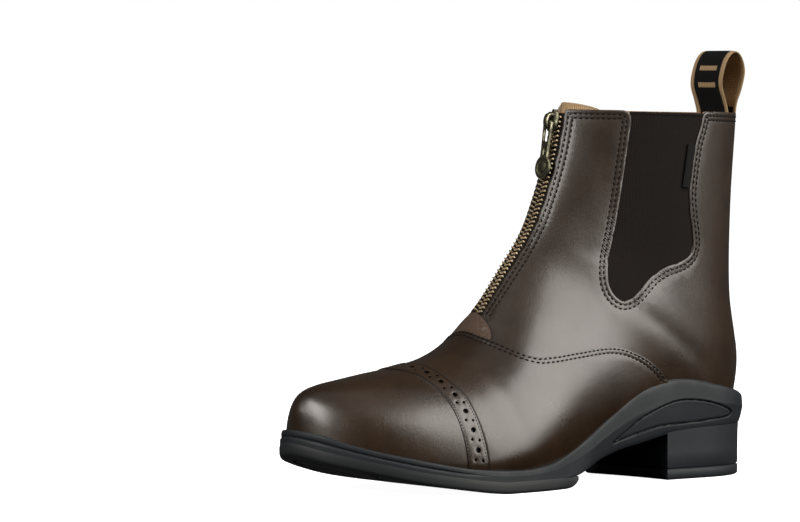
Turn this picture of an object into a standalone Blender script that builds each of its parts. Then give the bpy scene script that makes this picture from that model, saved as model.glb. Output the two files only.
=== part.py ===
"""Left zip-front paddock boot, standing empty on its sole.

Sizes are millimetres until a mesh is made, which is in metres. The toe points to -Y, the outer
(lateral) side of the foot to +X, and the floor is z = 0. Every leather piece is read from one
surface, the skin over the last, which is lofted through the sections in SKIN_SECTIONS. A place on
the skin is a row, counted from the toe's tip to the collar, and a turn: 0 along the front of the
boot, +1 along its back round the lateral side and -1 round the medial one.
"""

import functools
import math

import bmesh
import bpy
from mathutils import Vector

MM = 0.001
GAP = 0.3
# Middle of the boot's box on plan, which becomes the origin. The tables below are measured from a
# point this far in front of it.
ORIGIN_Y = 5.05
LATERAL, MEDIAL = 1, -1

TOE_Y = -134.5
HEEL_Y = 142.0
TOE_TIP_X = -11.0
HEEL_TIP_X = -2.0
TOE_SQUARENESS = {LATERAL: 1.8, MEDIAL: 2.1}
HEEL_SQUARENESS = 2.25

# How far out from the middle a cut into one side starts and ends.
SIDE_CUT_X = (6.0, 70.0)

UPPER_WALL = 2.4
OVERLAY_OVER_RIM = 1.3
OVERLAY_LEATHER = 1.1
OVERLAY_GAP = 0.4
BAND_STEP = 0.5
BACK_STRIP_LEATHER = 1.0

# Plan of the sole between the ball and the heel seat. Columns: y, x of the lateral edge.
LATERAL_EDGE = (
    (-43.0, 48.5),
    (-18.0, 46.0),
    (10.0, 39.5),
    (40.0, 35.0),
    (70.0, 33.0),
    (100.0, 32.5),
)
# The same for the medial edge. Columns: y, x.
MEDIAL_EDGE = (
    (-58.0, -48.5),
    (-30.0, -44.0),
    (-2.0, -34.5),
    (28.0, -29.5),
    (55.0, -31.0),
    (80.0, -34.5),
    (100.0, -35.5),
)

# Heights along the sole. Columns: y, underside of the tread, top of the rubber rim, floor inside.
SOLE_HEIGHTS = (
    (-134.5, 20.6, 33.6, 29.0),
    (-127.0, 17.0, 31.0, 26.5),
    (-118.0, 14.2, 26.8, 23.0),
    (-106.0, 11.0, 22.8, 19.0),
    (-91.0, 7.3, 19.1, 15.2),
    (-79.0, 5.0, 16.5, 12.8),
    (-66.0, 2.9, 14.0, 10.6),
    (-53.0, 1.1, 12.5, 9.0),
    (-40.0, 0.0, 11.7, 8.3),
    (-24.0, 0.0, 11.8, 8.4),
    (-6.0, 0.0, 14.7, 10.0),
    (12.0, 0.0, 22.2, 13.5),
    (32.0, 0.0, 33.8, 19.5),
    (52.0, 0.0, 45.2, 25.5),
    (65.0, 0.0, 49.5, 29.5),
    (84.0, 0.0, 52.0, 32.0),
    (110.0, 0.0, 47.6, 33.0),
    (127.0, 0.0, 43.8, 33.4),
    (140.0, 0.0, 40.0, 33.5),
)
UNDERSIDE, RIM, FLOOR = 1, 2, 3

# Underside of the sole's body behind the tread. Columns: y, z.
SHANK_UNDERSIDE = (
    (-45.0, 4.5),
    (-5.0, 5.0),
    (12.0, 7.0),
    (30.0, 14.0),
    (44.0, 17.8),
    (54.0, 19.6),
    (66.0, 22.0),
    (76.0, 23.8),
    (100.0, 25.6),
    (140.0, 26.6),
)
TREAD_THICKNESS = 5.5
# Rear edge of the forepart's tread, from the medial side to the lateral one. Columns: x, y.
TREAD_END = (
    (-40.0, -14.0),
    (-25.0, 2.0),
    (-8.0, 12.0),
    (8.0, 13.0),
    (25.0, 11.0),
    (42.0, 10.0),
)
# Levels of the tread layer. Columns: lift over the underside, inset, how far the rear edge is drawn in.
TREAD_LEVELS = (
    (0.0, 0.9, 8.0),
    (0.7, 0.2, 5.0),
    (2.4, 0.1, 1.8),
    (4.4, 0.1, 0.2),
    (6.5, 0.4, 0.0),
)

# Side wall of the sole's body from the rim down. Columns: share of the wall's height, inset round the
# toe, beside the ball and behind it.
WALL_STEPS = (
    (0.00, 2.4, 1.4, 1.4),
    (0.07, 1.6, 0.6, 0.5),
    (0.36, 1.5, 0.3, 0.1),
    (0.42, 2.3, 0.3, 0.0),
    (0.50, 0.6, 0.2, 0.2),
    (0.84, 0.1, 0.1, 1.4),
    (1.00, 0.5, 0.5, 2.4),
)
# Where one column of insets gives way to the next. Columns: start y, end y.
WALL_CHANGES = (
    (-80.0, -50.0),
    (2.0, 28.0),
)

# The breast of the heel runs a little aslant, further forward on the medial side.
HEEL_BREAST_Y = {LATERAL: 75.0, MEDIAL: 69.5}
HEEL_BREAST_HOLLOW = 2.0
# Levels of the heel block from the floor up. Columns: z, inset.
HEEL_LEVELS = (
    (0.0, 3.3),
    (0.8, 2.6),
    (4.9, 2.6),
    (5.3, 3.4),
    (6.0, 3.4),
    (6.4, 2.6),
    (29.0, 2.5),
)

# Outline of the sunk panel in each side of the heel cup. Columns: y, z.
CRESCENT = (
    (36.6, 21.8),
    (51.9, 31.1),
    (60.6, 35.0),
    (72.3, 39.0),
    (82.5, 40.9),
    (95.3, 40.3),
    (107.2, 37.9),
    (117.0, 34.6),
    (118.5, 32.6),
    (115.2, 31.2),
    (104.3, 30.3),
    (91.3, 29.3),
    (75.7, 28.7),
    (64.3, 27.6),
    (51.9, 25.0),
    (43.0, 22.9),
)
CRESCENT_DEPTH = 0.6

CHANNEL_DEPTH = 1.3
CHANNEL_WIDTH = 3.4
# Channels that part the lugs of the forepart's tread, on plan. Columns: x, y.
CHANNEL_LINES = (
    (
        *((-33.0, -107.0), (-26.4, -100.8), (-12.3, -89.2), (-2.0, -76.4)),
        *((5.7, -63.6), (13.0, -54.4), (26.2, -59.1), (38.6, -64.8)),
    ),
    (
        *((-37.4, -86.6), (-29.6, -80.3), (-18.7, -68.7), (-10.9, -55.5)),
        *((-3.3, -43.1), (3.9, -33.0), (14.6, -36.0), (24.9, -39.2), (40.0, -44.4)),
    ),
    ((19.6, -104.6), (14.6, -96.9), (5.0, -88.0), (12.4, -75.0), (23.6, -78.0), (31.4, -84.4)),
    ((-13.2, -59.4), (-27.7, -49.5)),
    ((-3.6, -41.4), (-25.7, -32.8)),
    ((2.6, -29.8), (-16.8, -14.2)),
    ((-23.4, -120.0), (-13.8, -110.0), (-5.2, -99.5)),
)
RIM_CHANNEL_INSET = 7.6
RIM_CHANNEL_WIDTH = 1.6
RIM_CHANNEL_END_Y = {LATERAL: -18.0, MEDIAL: -34.0}
RIM_CHANNEL_STEPS = 14
# Rear run of that channel, from the lateral side to the medial one. Columns: x, y.
RIM_CHANNEL_REAR = (
    (34.0, -9.6),
    (22.0, -7.2),
    (10.8, -10.8),
    (-2.0, -8.8),
    (-12.3, -3.6),
    (-20.0, -8.2),
    (-27.0, -17.0),
)

# Sections of the skin, toe to collar. Each lies in a plane from the front of the boot to its
# underside or back. Columns: front y and z, back y and z, half-widths to the lateral and medial
# side, x of the middle at the front and at the back, where along the section it is widest, and how
# sharp it is at the front and at the back (1 is an ellipse, less is blunter).
SKIN_SECTIONS = (
    (-129.1, 39.6, -129.0, 22.0, 0.0, 0.0, -11.0, -11.0, 0.60, 1.00, 1.00),
    (-127.6, 44.8, -128.0, 17.0, 7.8, 7.4, -11.0, -11.0, 0.62, 1.00, 0.92),
    (-123.2, 50.1, -124.0, 14.0, 16.2, 14.6, -10.5, -10.0, 0.64, 0.97, 0.88),
    (-114.6, 53.1, -115.6, 10.5, 25.0, 22.4, -9.5, -8.5, 0.66, 0.95, 0.83),
    (-102.2, 55.3, -103.0, 7.0, 32.8, 30.4, -8.0, -6.0, 0.69, 0.94, 0.78),
    (-86.2, 57.9, -87.0, 3.0, 39.6, 37.2, -6.5, -4.0, 0.71, 0.93, 0.76),
    (-68.6, 60.7, -68.0, -0.5, 44.7, 41.6, -5.0, -2.5, 0.72, 0.95, 0.75),
    (-49.4, 65.6, -46.0, -2.5, 47.8, 43.0, -3.5, -1.0, 0.70, 1.00, 0.75),
    (-34.0, 74.8, -22.0, -2.5, 47.8, 41.6, -2.5, 0.0, 0.66, 1.12, 0.75),
    (-22.5, 90.0, 6.0, 2.0, 44.3, 34.7, -2.0, 0.0, 0.62, 1.30, 0.75),
    (-9.9, 106.5, 44.0, 14.0, 38.2, 28.4, -2.0, -1.0, 0.58, 1.36, 0.72),
    (1.2, 120.5, 88.0, 20.0, 34.5, 28.9, -2.0, -2.0, 0.55, 1.25, 0.70),
    (9.6, 132.5, 126.0, 24.0, 35.4, 34.1, -2.0, -2.0, 0.53, 1.15, 0.72),
    (15.0, 144.0, 139.6, 52.0, 34.5, 35.0, -2.0, -2.0, 0.52, 1.15, 0.78),
    (20.0, 157.0, 134.9, 92.0, 34.5, 35.5, -2.0, -2.0, 0.52, 1.22, 0.85),
    (24.4, 172.5, 135.1, 138.0, 35.5, 36.5, -2.0, -2.0, 0.52, 1.36, 0.88),
    (27.8, 190.0, 138.4, 187.5, 36.5, 37.5, -2.0, -2.0, 0.52, 1.50, 0.88),
)
COLLAR_ROW = float(len(SKIN_SECTIONS) - 1)

# Edges of the band over the toe cap's rear. Columns: share of the way from the middle of the foot
# to the rubber, row of the front edge, row of the rear edge.
BAND_EDGES = (
    (0.00, 5.57, 6.28),
    (0.19, 5.77, 6.36),
    (0.33, 5.91, 6.45),
    (0.45, 6.04, 6.54),
    (0.57, 6.12, 6.59),
    (0.71, 6.16, 6.64),
    (0.84, 6.19, 6.68),
    (1.00, 6.22, 6.72),
)
# Rows near which the band's two edges cross the cap, and the rows that the cap and the vamp keep.
BAND_FRONT_ROW = 6.0
BAND_REAR_ROW = 6.5
TOE_CAP_LAST_ROW = 5.4
VAMP_ROWS = (6.9, 12.2)
# Top edge of the vamp in side view, from in front of the throat to the rubber. Columns: y, z.
VAMP_SEAM = (
    (-38.0, 83.0),
    (-34.0, 80.6),
    (-30.6, 77.0),
    (-27.6, 71.9),
    (-22.6, 67.6),
    (-15.8, 65.1),
    (-6.6, 64.6),
    (5.5, 66.0),
    (20.6, 67.6),
    (33.6, 68.4),
    (46.2, 67.4),
    (56.1, 64.5),
    (63.7, 59.0),
    (70.8, 51.0),
    (75.0, 44.0),
)
# Corners of what lies beyond that edge. Columns: y, z.
BEYOND_VAMP = (
    (150.0, 30.0),
    (150.0, 150.0),
    (-38.0, 150.0),
)
THROAT_TAB_FOOT = 8.31
THROAT_TAB_TOP = 8.84
THROAT_TAB_TURN = 0.146
THROAT_TAB_LEATHER = 0.8

# Outline of an elastic gore in side view, from the front of the collar. Columns: y, z.
GORE_OUTLINE = (
    (53.6, 197.0),
    (53.7, 183.0),
    (48.3, 151.3),
    (43.8, 129.0),
    (39.4, 114.2),
    (37.9, 104.5),
    (39.6, 97.4),
    (44.2, 93.2),
    (49.6, 93.3),
    (54.8, 96.8),
    (62.9, 104.1),
    (72.1, 109.1),
    (82.5, 111.9),
    (88.8, 115.5),
    (90.8, 121.5),
    (88.9, 132.1),
    (87.0, 147.1),
    (90.1, 169.6),
    (94.0, 180.8),
    (98.4, 197.0),
)
GORE_ROWS = (8.5, 9.0, 9.5, 10.0, 10.5, 11.0, 11.5, 12.0, 12.5, 13.0, 14.0, 15.0, 16.0)
WINDOW_TOP_Z = 194.0
GORE_SET_BACK = 0.8
GORE_THICKNESS = 1.3
GORE_TOP_DROP = 1.2

ZIP_X = -2.0
ZIP_SLOT_HALF = 4.6
ZIP_SLOT_Z = (82.0, 220.0)
ZIP_SLOT_Y = (-90.0, 60.0)
ZIP_TAPE_START_ROW = 8.68
ZIP_TAPE_DEPTH = 1.5
ZIP_TAPE_THICKNESS = 0.8
ZIP_CHAIN_START_ROW = 8.92
ZIP_CHAIN_HALF = 2.7
ZIP_CHAIN_LIFT = 0.15
ZIP_CHAIN_HEIGHT = 1.8

SLIDER_ROW = 15.62
SLIDER_HALF_WIDTH = 3.8
SLIDER_HALF_LENGTH = 5.0
SLIDER_PLATE = 1.7
BRIDGE_HALF_WIDTH = 1.4
BRIDGE_HALF_LENGTH = 4.2
BRIDGE_HEIGHT = 4.1
BRIDGE_WIRE = 1.2
BRIDGE_CORNER = 1.0
# Outline of half the slider's plate. Columns: share of the half length down, share of the half width.
SLIDER_OUTLINE = (
    (-1.0, 0.8),
    (-0.8, 1.0),
    (0.3, 1.0),
    (0.85, 0.72),
    (1.0, 0.5),
)
HINGE_HEIGHT = 1.45
HINGE_DOWN = 0.9
# The pull's measures run down from the hinge to the middle of its round end.
PULL_TOP = -1.15
PULL_CORNER = 0.6
PULL_REACH = 23.0
PULL_THICKNESS = 1.5
PULL_HALF_WIDTH = 3.2
PULL_RAIL = 1.1
# Openings of the pull. Columns: start, end, half-width.
PULL_OPENINGS = (
    (0.75, 10.0, PULL_HALF_WIDTH - PULL_RAIL),
    (12.6, 17.0, 1.0),
)
PULL_DISC_RADIUS = 5.5
PULL_DISH_RADIUS = 3.7
PULL_DISH_DEPTH = 0.35
DISC_STEPS = 14

# Half-width of the back strip. Columns: z, half-width.
BACK_STRIP = (
    (42.0, 5.5),
    (52.0, 6.0),
    (60.0, 7.2),
    (75.0, 9.8),
    (100.0, 11.5),
    (150.0, 11.5),
    (170.0, 11.0),
)

LOOP_HALF_WIDTH = 12.5
LOOP_THICKNESS = 1.3
LOOP_CENTRE_X = -2.0
LOOP_INSIDE_GAP = 1.0
# Heights at which the loop's two ends lie against the collar.
LOOP_INNER_Z = (172.0, 177.0, 182.0)
LOOP_OUTER_Z = (182.5, 176.0)
# Middle of the webbing above the collar in side view, front to back. Columns: y, z.
LOOP_PATH = (
    (134.2, 188.0),
    (132.2, 194.0),
    (129.0, 202.0),
    (129.6, 209.5),
    (132.4, 216.0),
    (136.8, 219.3),
    (141.2, 216.8),
    (143.9, 209.5),
    (142.6, 200.5),
    (140.2, 193.5),
    (139.4, 188.0),
)
# How much of the collar's roundness the webbing keeps on its way up. Columns: z, share.
LOOP_ROUNDNESS = (
    (186.0, 1.0),
    (196.0, 0.7),
    (208.0, 0.25),
    (220.0, 0.0),
)

# Corners of the label's side view, lower front first. Columns: y, z.
TAG_CORNERS = (
    (81.9, 150.2),
    (86.6, 149.8),
    (89.8, 171.6),
    (85.1, 172.0),
)
TAG_THICKNESS = 0.9

INSOLE_THICKNESS = 2.2
INSOLE_GAP = 0.5
INSOLE_SPARE = 5.0

ROUND_STEPS = 24
SECTION_COLUMNS = 11
SKIN_ROWS = (
    *(0.0, 0.3, 0.65, 1.0, 1.5),
    *(2.0 + 0.5 * n for n in range(21)),
    *(12.2, 12.36, 12.5, 13.0, 13.3, 13.6, 14.0, 14.5, 15.0, 15.5, 16.0),
)

MATERIALS = {
    "brown_leather": ((0.075, 0.040, 0.024), 0.34, 0.0),
    "elastic": ((0.020, 0.014, 0.012), 0.85, 0.0),
    "rubber": ((0.022, 0.026, 0.030), 0.62, 0.0),
    "webbing": ((0.014, 0.013, 0.013), 0.85, 0.0),
    "zip_cloth": ((0.020, 0.016, 0.014), 0.9, 0.0),
    "antique_brass": ((0.32, 0.26, 0.15), 0.38, 1.0),
    "insole_cloth": ((0.42, 0.30, 0.18), 0.9, 0.0),
    "label_cloth": ((0.010, 0.010, 0.010), 0.6, 0.0),
}


def smooth_value(rows, at, column=1):
    """Value of one column of a table at a place in its first column, on a curve through its rows."""
    last = len(rows) - 1
    if at <= rows[0][0]:
        return rows[0][column]
    if at >= rows[-1][0]:
        return rows[-1][column]
    i = max(n for n in range(last) if rows[n][0] <= at)
    slopes = []
    for n in (i, i + 1):
        low, high = rows[max(n - 1, 0)], rows[min(n + 1, last)]
        slopes.append((high[column] - low[column]) / (high[0] - low[0]))
    span = rows[i + 1][0] - rows[i][0]
    s = (at - rows[i][0]) / span
    a, b = rows[i][column], rows[i + 1][column]
    return (
        a * (1 + 2 * s) * (1 - s) ** 2
        + b * s * s * (3 - 2 * s)
        + span * (slopes[0] * s * (1 - s) ** 2 - slopes[1] * s * s * (1 - s))
    )


def spline(points, per_span, closed=False):
    """Points on a smooth curve through the given ones, which are pairs."""
    count = len(points)
    spans = count if closed else count - 1

    def at(n):
        if closed:
            return Vector(points[n % count])
        if n < 0:
            return 2 * Vector(points[0]) - Vector(points[1])
        if n >= count:
            return 2 * Vector(points[-1]) - Vector(points[-2])
        return Vector(points[n])

    curve = []
    for i in range(spans):
        p0, p1, p2, p3 = (at(i + n) for n in (-1, 0, 1, 2))
        for step in range(per_span):
            s = step / per_span
            curve.append(
                0.5
                * (
                    2 * p1
                    + (p2 - p0) * s
                    + (2 * p0 - 5 * p1 + 4 * p2 - p3) * s * s
                    + (3 * p1 - p0 - 3 * p2 + p3) * s**3
                )
            )
    if not closed:
        curve.append(Vector(points[-1]))
    return curve


def eased(share):
    share = min(max(share, 0.0), 1.0)
    return share * share * (3 - 2 * share)


def spaced(low, high, count):
    return [low + (high - low) * n / (count - 1) for n in range(count)]


def sole_edge(y, side):
    """x of the sole's plan on one side, at a place along it."""
    rows = LATERAL_EDGE if side == LATERAL else MEDIAL_EDGE
    if y < rows[0][0]:
        power = TOE_SQUARENESS[side]
        reach = min((rows[0][0] - y) / (rows[0][0] - TOE_Y), 1.0)
        return TOE_TIP_X + (rows[0][1] - TOE_TIP_X) * (1 - reach**power) ** (1 / power)
    if y > rows[-1][0]:
        power = HEEL_SQUARENESS
        reach = min((y - rows[-1][0]) / (HEEL_Y - rows[-1][0]), 1.0)
        return HEEL_TIP_X + (rows[-1][1] - HEEL_TIP_X) * (1 - reach**power) ** (1 / power)
    return smooth_value(rows, y)


def underside_z(y):
    return max(smooth_value(SOLE_HEIGHTS, y, UNDERSIDE), 0.0)


def rim_z(y):
    return smooth_value(SOLE_HEIGHTS, y, RIM)


def floor_z(y):
    return smooth_value(SOLE_HEIGHTS, y, FLOOR)


def body_underside_z(y):
    """Underside of the sole's body: the top of the tread layer, and the open shank behind it."""
    return max(underside_z(y) + TREAD_THICKNESS - 1.0, smooth_value(SHANK_UNDERSIDE, y))


def plan_point(y, side, inset):
    """Point (x, y) of the sole's plan, drawn in square to its edge."""
    y = min(max(y, TOE_Y), HEEL_Y)
    step = 0.05
    if y - TOE_Y < step:
        return Vector((TOE_TIP_X, TOE_Y + inset))
    if HEEL_Y - y < step:
        return Vector((HEEL_TIP_X, HEEL_Y - inset))
    run = (sole_edge(y + step, side) - sole_edge(y - step, side)) / (2 * step)
    outward_way = Vector((side, -side * run)).normalized()
    return Vector((sole_edge(y, side), y)) - outward_way * inset


def plan_loop(inset):
    """Points round the sole's plan: toe tip, lateral side, heel, medial side."""
    half = (HEEL_Y - TOE_Y) / 2
    places = [TOE_Y + half * (1 - math.cos(math.pi * n / ROUND_STEPS)) for n in range(ROUND_STEPS + 1)]
    lateral = [plan_point(y, LATERAL, inset) for y in places]
    medial = [plan_point(y, MEDIAL, inset) for y in reversed(places[1:-1])]
    return lateral + medial


@functools.cache
def section(row):
    """The columns of SKIN_SECTIONS at any row. The toe end is mirrored, so the skin closes smoothly."""
    last = len(SKIN_SECTIONS) - 1
    row = min(max(row, 0.0), float(last))
    i = min(int(row), last - 1)
    s = row - i

    def entry(n, column):
        if n < 0:
            return SKIN_SECTIONS[-n][column] * (-1 if column in (4, 5) else 1)
        if n > last:
            return 2 * SKIN_SECTIONS[last][column] - SKIN_SECTIONS[2 * last - n][column]
        return SKIN_SECTIONS[n][column]

    values = []
    for column in range(len(SKIN_SECTIONS[0])):
        p0, p1, p2, p3 = (entry(i + n, column) for n in (-1, 0, 1, 2))
        curve = (2 * p0 - 5 * p1 + 4 * p2 - p3) * s * s + (3 * p1 - p0 - 3 * p2 + p3) * s**3
        values.append(0.5 * (2 * p1 + (p2 - p0) * s + curve))
    return values


def skin(row, turn):
    """Point of the skin at a place."""
    if turn > 1:
        turn -= 2
    if turn < -1:
        turn += 2
    side = LATERAL if turn >= 0 else MEDIAL
    front_y, front_z, back_y, back_z, lateral, medial, x_front, x_back, widest, nose, tail = section(row)
    swing = -math.cos(math.pi * abs(turn))
    bow = max(math.sin(math.pi * abs(turn)), 0.0)
    if swing < 0:
        share = widest * (1 + swing)
        width = bow**nose
    else:
        share = widest + (1 - widest) * swing
        width = bow**tail
    half = lateral if side == LATERAL else medial
    return Vector(
        (
            x_front + (x_back - x_front) * share + side * half * width,
            front_y + (back_y - front_y) * share,
            front_z + (back_z - front_z) * share,
        )
    )


def outward(row, turn):
    """Direction square to the skin at a place."""
    along = skin(min(row + 0.04, COLLAR_ROW), turn) - skin(max(row - 0.04, 0.0), turn)
    around = skin(row, turn + 0.01) - skin(row, turn - 0.01)
    way = around.cross(along)
    if row <= 0.0:
        way.x = 0.0
    return way.normalized()


def lifted(row, turn, lift):
    """Point at a height over the skin."""
    return skin(row, turn) + outward(row, turn) * lift


def bisect(low, high, beyond):
    """The value between two others where a test starts to hold."""
    for _ in range(36):
        middle = (low + high) / 2
        if beyond(middle):
            high = middle
        else:
            low = middle
    return (low + high) / 2


@functools.cache
def foot_turn(row, side, height):
    """How far round a section comes down to a height that depends on y; 1 if it stays above it."""

    def below(turn):
        point = skin(row, side * turn)
        return point.z < height(point.y)

    return bisect(0.3, 1.0, below) if below(1.0) else 1.0


def above_rim(y):
    return rim_z(y) + OVERLAY_OVER_RIM


def lattice(row, height=None):
    """Turns of the skin's columns in a row, no further round than where it comes down to a height."""
    turns = []
    for n in range(-SECTION_COLUMNS, SECTION_COLUMNS + 1):
        turns.append(foot_turn(row, LATERAL if n >= 0 else MEDIAL, floor_z) * n / SECTION_COLUMNS)
    if height:
        low, high = -foot_turn(row, MEDIAL, height), foot_turn(row, LATERAL, height)
        turns = [low] + [min(max(turn, low), high) for turn in turns[1:-1]] + [high]
    return turns


def back_place(z, offset):
    """Place on the back of the boot at a height and a distance from its middle line."""
    side = LATERAL if offset >= 0 else MEDIAL
    reach = max(abs(offset), 0.01)

    def turn_of(row):
        middle = skin(row, 1.0).x
        return bisect(0.5, 1.0, lambda turn: abs(skin(row, side * turn).x - middle) < reach)

    row = bisect(11.0, COLLAR_ROW, lambda row: skin(row, side * turn_of(row)).z > z)
    return row, side * turn_of(row)


def side_place(y, z, side):
    """Place on a side of the boot that is seen there in side view."""

    def turn_of(row):
        return bisect(0.02, 0.98, lambda turn: skin(row, side * turn).z < z)

    row = bisect(4.0, COLLAR_ROW, lambda row: skin(row, side * turn_of(row)).y > y)
    return row, side * turn_of(row)


def material(name):
    """The Principled material of that name, made once."""
    found = bpy.data.materials.get(name)
    if found:
        return found
    colour, roughness, metallic = MATERIALS[name]
    made = bpy.data.materials.new(name)
    made.use_nodes = True
    shader = made.node_tree.nodes["Principled BSDF"]
    shader.inputs["Base Color"].default_value = (*colour, 1.0)
    shader.inputs["Roughness"].default_value = roughness
    shader.inputs["Metallic"].default_value = metallic
    return made


def collection(name):
    """The collection of that name, made once."""
    found = bpy.data.collections.get(name)
    if found:
        return found
    made = bpy.data.collections.new(name)
    bpy.context.scene.collection.children.link(made)
    return made


def solid(name, points, faces, finish=None):
    """A closed mesh from points in millimetres. Without a finish it is a cutter."""
    mesh = bpy.data.meshes.new(name)
    shape = bmesh.new()
    made = [shape.verts.new((Vector(p) - Vector((0.0, ORIGIN_Y, 0.0))) * MM) for p in points]
    for face in faces:
        corners = [made[n] for n in dict.fromkeys(face)]
        if len(corners) > 2 and shape.faces.get(corners) is None:
            shape.faces.new(corners)
    bmesh.ops.remove_doubles(shape, verts=shape.verts, dist=0.00001)
    bmesh.ops.recalc_face_normals(shape, faces=shape.faces)
    shape.to_mesh(mesh)
    shape.free()
    made_object = bpy.data.objects.new(name, mesh)
    if finish:
        collection("paddock_boot").objects.link(made_object)
        mesh.materials.append(material(finish))
        mesh.shade_smooth()
    else:
        collection("cutters").objects.link(made_object)
        made_object.hide_render = True
        made_object.display_type = "WIRE"
    return made_object


def combine(target, other, operation):
    """Cuts, joins or crosses one object with another, exactly."""
    modifier = target.modifiers.new(operation.lower(), "BOOLEAN")
    modifier.operation = operation
    modifier.object = other
    modifier.solver = "EXACT"


def stacked(name, loops, finish=None):
    """A solid between loops of equal length, one above the other. Each starts at one end of the
    outline, and its caps run across from one side to the other."""
    count = len(loops[0])
    points = [p for loop in loops for p in loop]
    faces = []
    for level in range(len(loops) - 1):
        base = level * count
        for n in range(count):
            m = (n + 1) % count
            faces.append((base + n, base + m, base + count + m, base + count + n))
    for base in (0, (len(loops) - 1) * count):
        for n in range(count // 2):
            faces.append((base + n, base + n + 1, base + count - n - 1, base + (count - n) % count))
    return solid(name, points, faces, finish)


def prism(name, outline, low, high, across, finish=None):
    """A solid between two places along an axis. across turns an outline pair and a place to a point."""
    count = len(outline)
    points = [across(a, b, at) for at in (low, high) for a, b in outline]
    faces = [tuple(range(count)), tuple(range(count, 2 * count))]
    faces += [(n, (n + 1) % count, count + (n + 1) % count, count + n) for n in range(count)]
    return solid(name, points, faces, finish)


def channel(name, path, width, closed, depth=CHANNEL_DEPTH):
    """A cutter that follows a path on plan and sinks a channel of even depth into the tread."""
    count = len(path)
    points = []
    for n, here in enumerate(path):
        before = path[n - 1] if closed or n else here
        after = path[(n + 1) % count] if closed or n < count - 1 else here
        along = (after - before).normalized()
        square = Vector((-along.y, along.x)) * (width / 2)
        for edge in (here - square, here + square):
            base = underside_z(edge.y)
            points += [(edge.x, edge.y, base - 2.0), (edge.x, edge.y, base + depth)]
    faces = []
    for n in range(count if closed else count - 1):
        a, b = 4 * n, 4 * ((n + 1) % count)
        faces += [(a, b, b + 1, a + 1), (a + 2, a + 3, b + 3, b + 2)]
        faces += [(a, a + 2, b + 2, b), (a + 1, b + 1, b + 3, a + 3)]
    if not closed:
        faces += [(0, 1, 3, 2), tuple(4 * (count - 1) + n for n in (0, 2, 3, 1))]
    return solid(name, points, faces)


def sheet_faces(lines, columns, first=0):
    """Triangles over a grid of points. Their diagonals all run the same way, so that two sheets over
    one grid stay parallel."""
    faces = []
    for i in range(lines - 1):
        for j in range(columns - 1):
            a = first + i * columns + j
            b = a + columns
            faces += [(a, a + 1, b + 1), (a, b + 1, b)]
    return faces


def shell(name, grid, inner, outer, finish=None):
    """A sheet between two heights over the skin. grid holds lines of places, and inner and outer
    give the heights at a place. Edges of the grid that fall together, as at the toe, join."""
    lines, columns = len(grid), len(grid[0])
    places = [place for line in grid for place in line]
    points = [lifted(r, t, outer(r, t)) for r, t in places]
    points += [lifted(r, t, inner(r, t)) for r, t in places]
    size = lines * columns
    faces = sheet_faces(lines, columns) + sheet_faces(lines, columns, size)

    def meet(line):
        return (points[line * columns] - points[(line + 1) * columns - 1]).length < 0.01

    rim = []
    for i in range(lines - 1):
        if not (meet(i) and meet(i + 1)):
            rim.append((i * columns, (i + 1) * columns))
            rim.append(((i + 1) * columns - 1, (i + 2) * columns - 1))
    rim += [((lines - 1) * columns + j, (lines - 1) * columns + j + 1) for j in range(columns - 1)]
    if grid[0][0][0] > 0.0:
        rim += [(j, j + 1) for j in range(columns - 1)]
    faces += [(a, b, size + b, size + a) for a, b in rim]
    return solid(name, points, faces, finish)


def level(height):
    return lambda row, turn: height


def last_form(name, lift, height):
    """The form that fills the skin down to a height, raised by lift."""
    grid = [[(row, turn) for turn in lattice(row, height)] for row in SKIN_ROWS]
    wide = len(grid[0])
    points = [lifted(r, t, lift) for line in grid for r, t in line]
    faces = sheet_faces(len(grid), wide)
    for i in range(len(grid) - 1):
        a, b = i * wide, (i + 1) * wide
        faces.append((a, a + wide - 1, b + wide - 1, b))
    top = (len(grid) - 1) * wide
    faces += [(top + n, top + n + 1, top + wide - 2 - n, top + wide - 1 - n) for n in range(wide // 2)]
    return solid(name, points, faces)


def sole_wall(name, extra_inset, finish=None):
    """The sole's body between its rim and its underside, drawn in evenly by extra_inset."""
    loops = []
    for share, *insets in WALL_STEPS:
        first, *others = [plan_loop(inset + extra_inset) for inset in insets]
        loop = []
        for n, place in enumerate(first):
            for (start, end), other in zip(WALL_CHANGES, others):
                place = place.lerp(other[n], eased((first[n].y - start) / (end - start)))
            x, y = place
            loop.append((x, y, rim_z(y) + (body_underside_z(y) - rim_z(y)) * share))
        loops.append(loop)
    return stacked(name, loops, finish)


def forepart_side(side, end, inset, steps):
    """Points of the sole's plan from the toe's tip back to a place on one side, closest at the tip."""
    run = end - TOE_Y
    places = [TOE_Y + run * (1 - math.cos(math.pi / 2 * n / steps)) for n in range(steps + 1)]
    return [plan_point(y, side, inset) for y in places]


def tread_end(side):
    """How far back the forepart's tread comes on one side."""
    return TREAD_END[-1 if side == LATERAL else 0][1]


def tread_layer():
    """The forepart's tread, with its rounded rear edge."""
    across = 5
    loops = []
    for lift, inset, drawn_in in TREAD_LEVELS:
        halves = {}
        for side in (LATERAL, MEDIAL):
            half = forepart_side(side, tread_end(side) - drawn_in, inset, ROUND_STEPS - 4)
            corner = half[-1].x
            for n in range(1, across):
                x = corner * (1 - n / across)
                half.append(Vector((x, smooth_value(TREAD_END, x) - drawn_in)))
            halves[side] = half
        tip = Vector((0.0, smooth_value(TREAD_END, 0.0) - drawn_in))
        outline = halves[LATERAL] + [tip] + halves[MEDIAL][:0:-1]
        loops.append([(p.x, p.y, underside_z(p.y) + lift) for p in outline])
    return stacked("tread_layer", loops)


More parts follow.
